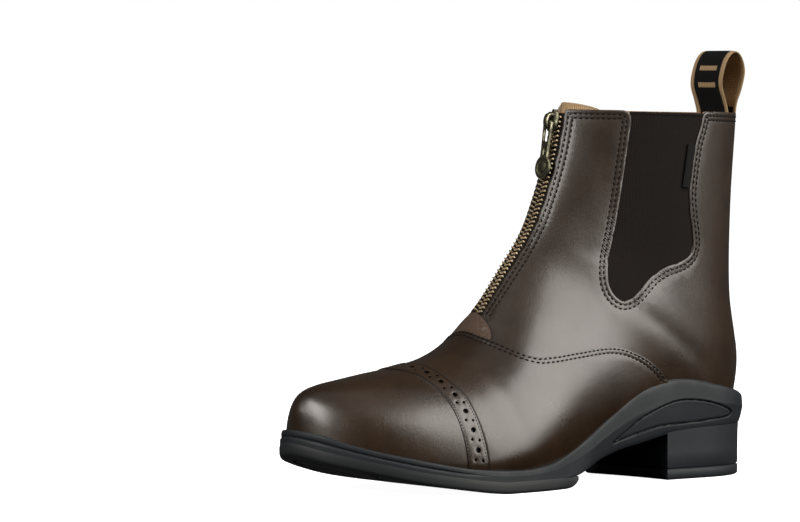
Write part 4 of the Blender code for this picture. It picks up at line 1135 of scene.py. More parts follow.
class Palette:
    """Every finish of the boot, made once."""

    def __init__(self) -> None:
        """Builds the materials."""
        self.leather = LeatherFinish().material()
        self.crinkled = LeatherFinish(
            name="crinkled_leather", dark=(0.055, 0.032, 0.022), light=(0.110, 0.072, 0.050), grain=520.0,
            wrinkle=0.0006,
        ).material()
        self.rubber = RubberFinish().material()
        self.tread = TreadFinish().material()
        self.elastic = WovenFinish(
            "woven_elastic", (0.0125, 0.0088, 0.0072), (0.0065, 0.0046, 0.0038), (1100.0, 1100.0), 0.00012
        ).material()
        self.zip_cloth = WovenFinish(
            "zip_tape", (0.018, 0.013, 0.011), (0.006, 0.005, 0.004), (1600.0, 1600.0), 0.0001
        ).material()
        self.lining = WovenFinish(
            "tan_twill", (0.52, 0.36, 0.21), (0.26, 0.17, 0.09), (900.0, 900.0), 0.00025, twill=1.0, sheen=0.2
        ).material()
        self.loop = LoopFinish().material()
        self.label = WovenFinish(
            "label_satin", (0.006, 0.006, 0.0065), (0.003, 0.003, 0.003), (2400.0, 2400.0), 0.00004, rough=0.7
        ).material()
        self.brass = MetalFinish("antique_brass", (0.27, 0.26, 0.18), (0.075, 0.072, 0.048)).material()
        self.teeth = MetalFinish(
            "zip_teeth_brass", (0.74, 0.60, 0.40), (0.44, 0.33, 0.20), metal=0.45
        ).material()
        self.thread = ThreadFinish().material()
        # Painted shade: a near-black sheet under the punched band stands in for the shade inside its holes.
        self.painted_hole_shade = RubberFinish("painted_hole_shade_black", (0.003, 0.003, 0.003), (0.004, 0.004, 0.004)).material()
        self.inlay = RubberFinish("grey_inlay", (0.19, 0.175, 0.165), (0.25, 0.235, 0.225)).material()


class Boot:
    """What every sub-assembly shares: the last, the finishes and the list of pieces."""

    def __init__(self) -> None:
        """Sets up the surface and the finishes."""
        self.plan = SolePlan()
        self.last = Last(self.plan)
        self.palette = Palette()
        self.relief = Relief(self.last, CREASES)

    def place(
        self, piece: bpy.types.Object, material: bpy.types.Material, slot: Slot,
        stands_for: tuple[str, ...] = (), body: str = BODY,
    ) -> bpy.types.Object:
        """Dresses a finished piece and ties it to the frame.

        Args:
            piece: The piece.
            material: Its material.
            slot: The record's slot for the piece; not used.
            stands_for: The frame's nodes that it replaces.
            body: The body that it rides on.

        Returns:
            The piece.
        """
        piece.data.materials.clear()
        piece.data.materials.append(material)
        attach(piece, body)
        if stands_for:
            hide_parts(*stands_for)
        log.info("%s: %d faces", piece.name, len(piece.data.polygons))
        return piece


CREASES = (
    Crease(((11.2, 0.30), (11.9, 0.42), (12.2, 0.56), (12.3, 0.68)), 0.7, 5.0),
    Crease(((12.0, 0.22), (12.7, 0.34), (13.0, 0.47)), 0.5, 4.5),
    Crease(((11.2, -0.30), (11.9, -0.42), (12.2, -0.56), (12.3, -0.68)), 0.7, 5.0),
    Crease(((12.0, -0.22), (12.7, -0.34), (13.0, -0.47)), 0.5, 4.5),
    Crease(((13.4, 0.30), (14.2, 0.27), (15.2, 0.26)), 0.45, 6.0),
    Crease(((13.6, -0.31), (14.4, -0.27), (15.1, -0.27)), 0.45, 6.0),
    Crease(((7.3, 0.10), (7.5, 0.24), (7.7, 0.38), (7.9, 0.52)), 0.35, 4.5),
    Crease(((7.3, -0.12), (7.6, -0.26), (7.8, -0.40), (8.0, -0.54)), 0.35, 4.5),
    Crease(((13.3, 0.86), (13.7, 0.93), (13.9, 1.0)), 0.4, 5.0),
    Crease(((13.3, -0.86), (13.7, -0.93), (13.9, -1.0)), 0.4, 5.0),
)


def instancing_tree(name: str, round_ends: bool) -> bpy.types.GeometryNodeTree:
    """Geometry Nodes that put one small bar on each point of a mesh.

    The points carry the vectors along and out, which the bar follows.

    Args:
        name: The tree's name.
        round_ends: Whether the bar is a drawn-out ball, instead of a round bar with flat ends.

    Returns:
        The tree, with inputs Length, Width, Height and Finish.
    """
    tree = bpy.data.node_groups.new(name, "GeometryNodeTree")
    face = tree.interface
    face.new_socket("Geometry", in_out="INPUT", socket_type="NodeSocketGeometry")
    for size in ("Length", "Width", "Height"):
        face.new_socket(size, in_out="INPUT", socket_type="NodeSocketFloat")
    face.new_socket("Finish", in_out="INPUT", socket_type="NodeSocketMaterial")
    face.new_socket("Geometry", in_out="OUTPUT", socket_type="NodeSocketGeometry")
    nodes, links = tree.nodes, tree.links
    start, end = nodes.new("NodeGroupInput"), nodes.new("NodeGroupOutput")
    sizes = nodes.new("ShaderNodeCombineXYZ")
    for n, size in enumerate(("Length", "Width", "Height")):
        links.new(start.outputs[size], sizes.inputs[n])
    shape = nodes.new("GeometryNodeTransform")
    if round_ends:
        ball = nodes.new("GeometryNodeMeshUVSphere")
        ball.inputs["Segments"].default_value = 6
        ball.inputs["Rings"].default_value = 5
        ball.inputs["Radius"].default_value = 0.5
        links.new(ball.outputs["Mesh"], shape.inputs["Geometry"])
    else:
        bar = nodes.new("GeometryNodeMeshCylinder")
        bar.inputs["Vertices"].default_value = 10
        bar.inputs["Radius"].default_value = 0.5
        bar.inputs["Depth"].default_value = 1.0
        lying = nodes.new("GeometryNodeTransform")
        lying.inputs["Rotation"].default_value = (0.0, math.pi / 2, 0.0)
        links.new(bar.outputs["Mesh"], lying.inputs["Geometry"])
        links.new(lying.outputs["Geometry"], shape.inputs["Geometry"])
    links.new(sizes.outputs["Vector"], shape.inputs["Scale"])
    turn = nodes.new("FunctionNodeAxesToRotation")
    turn.primary_axis, turn.secondary_axis = "X", "Z"
    for socket, name_of in ((turn.inputs[0], "along"), (turn.inputs[1], "out")):
        read = nodes.new("GeometryNodeInputNamedAttribute")
        read.data_type = "FLOAT_VECTOR"
        read.inputs["Name"].default_value = name_of
        links.new(read.outputs["Attribute"], socket)
    spread = nodes.new("GeometryNodeInstanceOnPoints")
    links.new(start.outputs["Geometry"], spread.inputs["Points"])
    links.new(shape.outputs["Geometry"], spread.inputs["Instance"])
    links.new(turn.outputs[0], spread.inputs["Rotation"])
    real = nodes.new("GeometryNodeRealizeInstances")
    finish = nodes.new("GeometryNodeSetMaterial")
    links.new(spread.outputs["Instances"], real.inputs["Geometry"])
    links.new(real.outputs["Geometry"], finish.inputs["Geometry"])
    links.new(start.outputs["Finish"], finish.inputs["Material"])
    links.new(finish.outputs["Geometry"], end.inputs["Geometry"])
    return tree


def spread_on(
    name: str, tree: bpy.types.GeometryNodeTree, at: tuple[Array, Array, Array],
    size: tuple[float, float, float], material: bpy.types.Material,
) -> bpy.types.Object:
    """Puts a tree's small shape on points.

    Args:
        name: The piece's name.
        tree: The Geometry Nodes tree.
        at: Points in millimetres, with their directions along and out.
        size: Length, width and height of the shape in millimetres.
        material: Its material.

    Returns:
        One plain mesh.
    """
    points, along, out = at
    piece = mesh_object(name, points, [])
    for word, ways in (("along", along), ("out", out)):
        attribute = piece.data.attributes.new(word, "FLOAT_VECTOR", "POINT")
        attribute.data.foreach_set("vector", np.asarray(ways, np.float32).ravel())
    modifier = piece.modifiers.new("spread", "NODES")
    modifier.node_group = tree
    given = dict(zip(("Length", "Width", "Height"), (value * MM for value in size)), Finish=material)
    for item in tree.interface.items_tree:
        if item.in_out == "INPUT" and item.name in given:
            modifier[item.identifier] = given[item.name]
    made = applied(piece)
    made.data.shade_smooth()
    return made


@dataclass(frozen=True)
class StitchGauge:
    """Sizes of a row of stitches, in millimetres."""

    pitch: float = 2.9
    length: float = 2.0
    width: float = 0.95
    height: float = 0.5


class Stitching:
    """Gathers rows of stitches and makes each group of them one piece."""

    def __init__(self, boot: Boot) -> None:
        """Builds the tree that all the rows share."""
        self.boot = boot
        self.tree = instancing_tree("stitches", True)

    def sew(
        self, name: str, rows: Sequence[tuple[Array, float]], gauge: StitchGauge = StitchGauge()
    ) -> bpy.types.Object:
        """Makes a piece from rows of stitches.

        Args:
            name: The piece's name.
            rows: Runs of places, each with its height over the last.
            gauge: Sizes of the stitches.

        Returns:
            The piece.
        """
        last = self.boot.last
        points, ways, outs = [], [], []
        for run, lift in rows:
            ends = last.lifted(last.resampled(run, gauge.pitch), lift)
            places = last.resampled(run, gauge.pitch)
            middles = (places[:-1] + places[1:]) / 2
            raised = self.boot.relief(middles)
            points.append(last.lifted(middles, lift + raised))
            ways.append(unit(np.diff(ends, axis=0)))
            outs.append(last.outward(middles[:, 0], middles[:, 1]))
        size = (gauge.length, gauge.width, gauge.height)
        at = (np.vstack(points), np.vstack(ways), np.vstack(outs))
        piece = spread_on(name, self.tree, at, size, self.boot.palette.thread)
        return self.boot.place(piece, self.boot.palette.thread, Slot.LEATHER)


@dataclass
class Uppers:
    """The leather and cloth of the upper.

    Attributes:
        boot: What the sub-assemblies share.
        stitching: The maker of its stitches.
    """

    boot: Boot
    stitching: Stitching
    wall: float = 2.4
    leather: float = 1.3
    overlay: float = 1.4
    band_lift: float = 1.95
    sink: float = 1.2
    zip_x: float = -2.0
    slot_half: float = 4.6
    slot_foot: float = 8.5
    cap_overlap: float = 0.09
    seam_margins: tuple[float, float] = (2.2, 4.4)
    fine: StitchGauge = StitchGauge(1.6, 1.2, 0.5, 0.32)
    # Edges of the band over the toe cap's rear. Columns: share of the way from the middle of the
    # foot to the rubber, row of the front edge, row of the rear edge.
    band: Table = (
        (0.00, 5.57, 6.28), (0.19, 5.77, 6.36), (0.33, 5.91, 6.45), (0.45, 6.04, 6.54), (0.57, 6.12, 6.59),
        (0.71, 6.16, 6.64), (0.84, 6.19, 6.68), (1.00, 6.22, 6.72),
    )
    # Top edge of the vamp. Columns: share of the way to the rubber, row.
    vamp_seam: Table = (
        (0.00, 8.24), (0.08, 8.25), (0.15, 8.27), (0.27, 8.45), (0.38, 8.74), (0.46, 9.07), (0.52, 9.45),
        (0.67, 10.36), (0.79, 11.05), (0.91, 11.32), (1.00, 11.34),
    )
    # An elastic gore in side view below the collar. Columns: y, z.
    gore: Table = (
        (53.7, 183.0), (48.3, 151.3), (43.8, 129.0), (39.4, 114.2), (37.9, 104.5), (39.6, 97.4),
        (44.2, 93.2), (49.6, 93.3), (54.8, 96.8), (62.9, 104.1), (72.1, 109.1), (82.5, 111.9),
        (88.8, 115.5), (90.8, 121.5), (88.9, 132.1), (87.0, 147.1), (90.1, 169.6), (94.0, 180.8),
    )
    # The flap behind the zip: turns of its ends, rise of its top, roundness, depth and columns.
    guard_turns: tuple[float, float] = (-0.13, 0.225)
    guard_rise: float = 5.0
    guard_bow: float = 0.5
    guard_sink: float = 0.8
    guard_columns: int = 60
    fold_columns: int = 40
    gore_front_y: float = 53.6
    gore_rear_y: float = 96.1
    # Columns: z, half-width of the back strip.
    back_strip: Table = (
        (42.0, 5.5), (52.0, 6.0), (60.0, 7.2), (75.0, 9.8), (100.0, 11.5), (150.0, 11.5), (170.0, 11.0),
    )
    # Holes on the middle line of the band's half, and the pairs between them, as shares of the way to
    # the rubber.
    punches: tuple[float, ...] = (0.0885, 0.205, 0.3215, 0.438, 0.5545, 0.671, 0.7875)
    small_punches: tuple[float, ...] = (0.0, 0.147, 0.263, 0.38, 0.496, 0.613, 0.729, 0.846)
    # Ways across the band and radius: the large holes, and the two of a pair.
    large_punch: tuple[float, float] = (0.58, 1.3)
    pair_punch: tuple[float, float, float] = (0.38, 0.74, 0.7)

    def foot(self, y: Array) -> Array:
        """Height down to which the leather shows, a little inside the rubber."""
        return self.boot.plan.rim(y) - self.sink

    def _shares(self, share: Array, row: Array) -> Array:
        """Places from signed shares of the way to the rubber, at rows."""
        last = self.boot.last
        lateral = last.foot_turn(row, Side.LATERAL, self.foot)
        medial = last.foot_turn(row, Side.MEDIAL, self.foot)
        return np.stack([row, share * np.where(share >= 0, lateral, medial)], axis=1)

    def _crosswise(self, table: Table, column: int, extra: float = 0.0) -> Array:
        """A run over the foot from the medial rubber to the lateral one."""
        share = np.linspace(-1.0, 1.0, 121)
        return self._shares(share, table_value(table, np.abs(share), column) + extra)

    def _foot_run(self, side: Side, start: float, end: float, steps: int = 80) -> Array:
        """The run along the rubber on a side."""
        rows = np.linspace(start, end, steps)
        turns = self.boot.last.foot_turn(rows, side, self.foot)
        return np.stack([rows, side.value * turns], axis=1)

    def window(self, side: Side) -> Array:
        """The run round a gore's window, from the front of the collar down and up to its rear."""
        last = self.boot.last
        curve = spline(self.gore, 4)
        places = last.side_places(curve[:, 0], curve[:, 1], side)
        ends = [[last.collar, last.collar_turn(y, side)] for y in (self.gore_front_y, self.gore_rear_y)]
        return np.vstack([ends[:1], places, ends[1:]])

    def body_outline(self, first_row: float, low: Heights) -> Array:
        """Outline of the leather that makes the boot's body.

        Args:
            first_row: Row at which it starts.
            low: Height down to which it comes, from y.

        Returns:
            The closed outline.
        """
        last = self.boot.last
        collar = last.collar
        heel = last.back_row(low)
        rows = np.linspace(collar, self.slot_foot, 90)
        slot = {side: last.beside(rows, self.zip_x, side.value * self.slot_half) for side in Side}
        windows = {side: self.window(side) for side in Side}

        def level(row: float, start: float, end: float) -> Array:
            return np.stack([np.full(40, row), np.linspace(start, end, 40)], axis=1)

        def seam(side: Side) -> Array:
            return np.stack([np.linspace(heel, collar, 60), np.full(60, float(side.value))], axis=1)

        def foot(side: Side) -> Array:
            return last.foot_run(side, low, first_row, heel, 110)

        medial, lateral = windows[Side.MEDIAL], windows[Side.LATERAL]
        feet = {side: foot(side) for side in Side}
        parts = [
            (feet[Side.MEDIAL], 0.0), (seam(Side.MEDIAL), 0.0), (level(collar, -1.0, medial[-1, 1]), 3.0),
            (medial[::-1], 4.0),
            (level(collar, medial[0, 1], slot[Side.MEDIAL][0, 1]), 1.5), (slot[Side.MEDIAL], 0.8),
            (level(self.slot_foot, slot[Side.MEDIAL][-1, 1], slot[Side.LATERAL][-1, 1]), 0.8),
            (slot[Side.LATERAL][::-1], 1.5),
            (level(collar, slot[Side.LATERAL][0, 1], lateral[0, 1]), 4.0), (lateral, 3.0),
            (level(collar, lateral[-1, 1], 1.0), 0.0), (seam(Side.LATERAL)[::-1], 0.0),
            (feet[Side.LATERAL][::-1], 0.0),
            (level(first_row, feet[Side.LATERAL][0, 1], feet[Side.MEDIAL][0, 1]), 0.0),
        ]
        return joined(parts, last)

    def body_seams(self) -> list[Array]:
        """Two rows of stitches a side: up the zip, along the collar, round the gore and to the back."""
        last = self.boot.last
        rows = np.linspace(self.slot_foot + 0.35, last.collar, 90)
        seams = []
        for side in Side:
            slot = last.beside(rows, self.zip_x, side.value * self.slot_half)
            window = self.window(side)
            ahead = np.linspace(slot[-1, 1], window[0, 1], 60)
            behind = np.linspace(window[-1, 1], side.value * 0.995, 60)
            parts = [
                (slot, 1.5),
                (np.stack([np.full(60, last.collar), ahead], axis=1), 4.0), (window, 3.0),
                (np.stack([np.full(60, last.collar), behind], axis=1), 0.0),
            ]
            edge = last.resampled(joined(parts, last, closed=False), 0.7)
            tree = tree_of(last.points(edge[:, 0], edge[:, 1]))
            for margin in self.seam_margins:
                run = last.sideways(edge, -side.value * margin)
                gaps = distances(tree, last.points(run[:, 0], run[:, 1]))
                seams.append(run[(gaps > 0.94 * margin) & (run[:, 0] < last.collar)])
        return seams

    def build(self) -> None:
        """Makes every piece of the upper."""
        boot, last, palette = self.boot, self.boot.last, self.boot.palette
        seams = self.body_seams()
        body = Panel(
            "upper_leather", last, self.body_outline(5.0, self.foot), face=0.0, back=-self.leather,
            seams=tuple(seams), relief=boot.relief, spacing=2.6,
        ).build()
        boot.place(body, palette.leather, Slot.LEATHER, ("upper",))
        self.stitching.sew("stitches_body", [(run, 0.02) for run in seams])
        lining = Panel(
            "lining", last, self.body_outline(2.0, lambda y: boot.plan.floor(y) + 1.0), face=-self.wall,
            back=-self.leather - 0.05, spacing=3.6, relief=boot.relief, roll=(0.4, 0.9),
        ).build()
        boot.place(lining, palette.lining, Slot.LINING)
        self.build_zip_guard()
        self.build_gores()
        self.build_toe_cap()
        self.build_vamp()
        self.build_throat_tab()
        self.build_back_strip()

    def _ribbon(self, name: str, rings: Array, turns: Array, step: float) -> bpy.types.Object:
        """A closed strip round the collar.

        Args:
            name: The piece's name.
            rings: Its lines along the collar, in the order of its outline across.
            turns: Turns of the places on each line.
            step: Distance from line to line on the UV map.

        Returns:
            The piece.
        """
        wide, count = rings.shape[:2]
        faces = grid_faces(wide, count)
        far = (wide - 1) * count
        faces += [(n, n + 1, far + n + 1, far + n) for n in range(count - 1)]
        faces += [tuple(n * count + end for n in range(wide)) for end in (0, count - 1)]
        uv = np.stack([np.tile(turns * 125.0, wide), np.repeat(np.arange(wide) * step, count)], axis=1)
        piece = mesh_object(name, rings.reshape(-1, 3), faces, uv)
        outward_faces(piece)
        return piece

    def build_zip_guard(self) -> None:
        """The lined flap behind the zip, whose rounded top stands over the front of the collar."""
        boot, last = self.boot, self.boot.last
        turns = np.linspace(*self.guard_turns, self.guard_columns)
        places = np.stack([np.full(len(turns), last.collar), turns], axis=1)
        along, _ = last.slopes(places[:, 0], places[:, 1])
        up = unit(along)
        share = np.linspace(0.0, 1.0, len(turns))
        rise = self.guard_rise * np.sin(np.pi * share) ** self.guard_bow - self.guard_sink
        lines = []
        # Columns: height over the last, share of the rise, way down.
        ring = (
            *((-2.5, 0.0, 14.0), (-2.5, 1.0, 1.0), (-2.75, 1.0, 0.35), (-3.3, 1.0, 0.0), (-4.0, 1.0, 0.1)),
            *((-4.6, 1.0, 0.6), (-4.9, 1.0, 1.6), (-4.4, 0.0, 14.0)),
        )
        for lift, part, drop in ring:
            lines.append(last.lifted(places, lift) + up * (rise * part - drop)[:, None])
        piece = self._ribbon("zip_guard", np.stack(lines), turns, 1.5)
        boot.place(sharpened(piece, 60.0), boot.palette.lining, Slot.LINING)

    def build_gores(self) -> None:
        """The two elastic gores, set back in their windows, each with a bound top edge."""
        boot, last = self.boot, self.boot.last
        for side in Side:
            name = side.name.lower()
            window = self.window(side)
            spread = last.sideways(window, -side.value * 1.2)
            spread = spread[spread[:, 0] < last.collar - 0.02]
            top = last.collar - 0.035
            low = np.array([top, spread[0, 1]])
            high = np.array([top, spread[-1, 1]])
            across = np.linspace(high, low, 30)
            under = spread[spread[:, 0] < top - 0.01]
            outline = np.vstack([low[None], under, across[:-1]])
            gore = Panel(
                f"gore_{name}_cloth", last, outline, face=-0.75, back=-1.25, spacing=2.6, roll=(0.2, 0.6),
                side_map=True,
            ).build()
            boot.place(gore, boot.palette.elastic, Slot.ELASTIC, (f"gore_{name}",))
            self._binding(side, low[1], high[1], top)

    def _binding(self, side: Side, start: float, end: float, top: float) -> None:
        """The narrow fold over the top edge of a gore."""
        boot, last = self.boot, self.boot.last
        turns = np.linspace(start, end, self.fold_columns)
        lines = []
        # Columns: drop below the gore's top in rows, height over the last.
        fold = (
            (0.035, -0.72), (0.03, -0.5), (0.0, -0.45), (-0.012, -0.7), (0.0, -1.35), (0.03, -1.42),
            (0.035, -1.2),
        )
        for drop, lift in fold:
            places = np.stack([np.full(len(turns), top - drop), turns], axis=1)
            lines.append(last.lifted(places, lift))
        piece = self._ribbon(f"gore_{side.name.lower()}_binding", np.stack(lines), turns, 0.5)
        boot.place(sharpened(piece, 50.0), boot.palette.elastic, Slot.ELASTIC)

    def build_toe_cap(self) -> None:
        """The toe cap and the punched band over its rear edge."""
        boot, last = self.boot, self.boot.last
        front = self._crosswise(self.band, 1, self.cap_overlap)
        tip = 0.003
        medial = self._foot_run(Side.MEDIAL, tip, front[0, 0])
        lateral = self._foot_run(Side.LATERAL, tip, front[-1, 0])
        parts = [
            (front, 0.0), (lateral[::-1], 0.0),
            (np.linspace(lateral[0], medial[0], 20), 0.0), (medial, 0.0),
        ]
        cap = Panel(
            "toe_cap_leather", last, joined(parts, last), face=self.overlay, back=0.3, relief=boot.relief,
            spacing=1.9, roll=(0.3, 0.8),
        ).build()
        boot.place(cap, boot.palette.leather, Slot.LEATHER, ("toe_cap",))
        edges = [self._crosswise(self.band, column) for column in (1, 2)]
        parts = [
            (edges[0], 0.0),
            (self._foot_run(Side.LATERAL, edges[0][-1, 0], edges[1][-1, 0], 12), 0.0),
            (edges[1][::-1], 0.0),
            (self._foot_run(Side.MEDIAL, edges[1][0, 0], edges[0][0, 0], 12), 0.0),
        ]
        large, radius = self.large_punch
        *ways, small = self.pair_punch
        centres = [(share, large, radius) for share in self.punches]
        centres += [(share, way, small) for share in self.small_punches for way in ways]
        holes = []
        for share, across, size in centres:
            for sign in (1.0, -1.0) if share else (1.0,):
                rows = [float(table_value(self.band, share, column)) for column in (1, 2)]
                row = np.array([rows[0] + (rows[1] - rows[0]) * across])
                centre = self._shares(np.array([sign * share]), row)[0]
                holes.append(last.disc(centre, size, 14 if size > 1 else 10))
        seams = [last.sideways(edge, way)[2:-2] for edge, way in ((edges[0], 0.75), (edges[1], -0.75))]
        band = Panel(
            "toe_cap_band", last, joined(parts, last), face=self.band_lift, back=0.4, holes=tuple(holes),
            seams=tuple(seams), relief=boot.relief, spacing=1.3, roll=(0.3, 0.5), seam_depth=0.12,
            ring_steps=(0.3,),
        ).build()
        boot.place(band, boot.palette.leather, Slot.LEATHER)
        self.stitching.sew("stitches_band", [(run, self.band_lift - 0.1) for run in seams], self.fine)
        # Painted shade: a near-black sheet under the band, seen through its holes, stands in for the shade
        # inside them.
        inner = [self._crosswise(self.band, column, extra)[1:-1] for column, extra in ((1, 0.12), (2, -0.05))]
        ends = [np.linspace(inner[0][n], inner[1][n], 8) for n in (-1, 0)]
        parts = [(inner[0], 0.0), (ends[0], 0.0), (inner[1][::-1], 0.0), (ends[1][::-1], 0.0)]
        painted_hole_shade = Panel(
            "band_painted_hole_shade", last, joined(parts, last), face=0.36, back=0.05, relief=boot.relief,
            spacing=2.4, roll=(0.05, 0.4),
        ).build()
        boot.place(painted_hole_shade, boot.palette.painted_hole_shade, Slot.LEATHER)

    def build_vamp(self) -> None:
        """The vamp, from the band to the wave-shaped seam."""
        boot, last = self.boot, self.boot.last
        rear = self._crosswise(self.band, 2, 0.012)
        seam = self._crosswise(self.vamp_seam, 1)
        parts = [
            (rear, 0.0),
            (self._foot_run(Side.LATERAL, rear[-1, 0], seam[-1, 0], 80), 1.0), (seam[::-1], 1.0),
            (self._foot_run(Side.MEDIAL, seam[0, 0], rear[0, 0], 80), 0.0),
        ]
        rows = [last.sideways(seam, -offset)[2:-2] for offset in (1.0, 3.0)]
        vamp = Panel(
            "vamp_leather", last, joined(parts, last), face=self.overlay, back=0.1, seams=tuple(rows),
            relief=boot.relief, spacing=2.1,
        ).build()
        boot.place(vamp, boot.palette.leather, Slot.LEATHER, ("vamp",))
        self.stitching.sew("stitches_vamp", [(run, self.overlay + 0.02) for run in rows])

    def build_throat_tab(self) -> None:
        """The small arched tab of crinkled leather over the foot of the zip."""
        boot, last = self.boot, self.boot.last
        half, foot, top = 0.146, 8.25, 8.84
        share = np.linspace(-1.0, 1.0, 41)
        arch = np.sqrt(np.maximum(1 - (0.985 * share) ** 2, 0.0))
        upper = np.stack([foot + 0.1 + (top - foot - 0.1) * arch, half * share], axis=1)
        lower = np.stack([np.full(41, foot - 0.12) + 0.05 * share**2, half * share], axis=1)
        parts = [(lower, 0.0), (upper[::-1], 0.0)]
        tab = Panel(
            "throat_tab_leather", last, joined(parts, last), face=1.15, back=0.1, relief=boot.relief,
            spacing=1.2, roll=(0.45, 0.9),
        ).build()
        boot.place(tab, boot.palette.crinkled, Slot.LEATHER, ("throat_tab",))

    def build_back_strip(self) -> None:
        """The strip over the back seam, stitched along both edges."""
        boot, last = self.boot, self.boot.last
        heel = last.back_row(self.foot)
        low = float(last.points(np.array([heel]), 1.0)[0, 2])
        z = np.linspace(low, self.back_strip[-1][0], 60)
        half = table_value(self.back_strip, z)
        sides = {sign: last.back_places(z, sign * half) for sign in (1.0, -1.0)}
        strip_columns = np.linspace(-1.0, 1.0, 25)
        grid, uv = [], []
        for column in strip_columns:
            places = last.back_places(z, column * half)
            fall = 0.6 * max(0.0, (abs(column) - 0.88) / 0.12) ** 2
            groove = 0.16 * math.exp(-(((abs(column) - 0.80) / 0.05) ** 2))
            grid.append(last.lifted(places, 1.15 - fall - groove + boot.relief(places)))
            uv.append(np.stack([column * half, z], axis=1))
        face = np.stack(grid)
        back = np.stack([last.lifted(last.back_places(z, c * half), 0.15) for c in strip_columns])
        strip = closed_sheet("back_strip_leather", face, back, np.stack(uv))
        columns = np.repeat(1 - np.abs(strip_columns), len(z))
        # The strip's rolled edge walls are darkened, partly their own dark finish and partly painted shadow
        # along the strip.
        point_value(strip, "edge", np.tile(np.clip(5.0 * (columns - 0.07), 0.0, 1.0), 2))
        # The strip gets none of the painted stitch shade.
        point_value(strip, "seam", np.ones(len(strip.data.vertices)))
        boot.place(sharpened(strip, 50.0), boot.palette.leather, Slot.LEATHER, ("back_strip",))
        rows = []
        for sign in sides:
            run = last.back_places(z, sign * (half - 1.9))
            rows.append((run[1:-1], 1.08))
        self.stitching.sew("stitches_back_strip", rows)


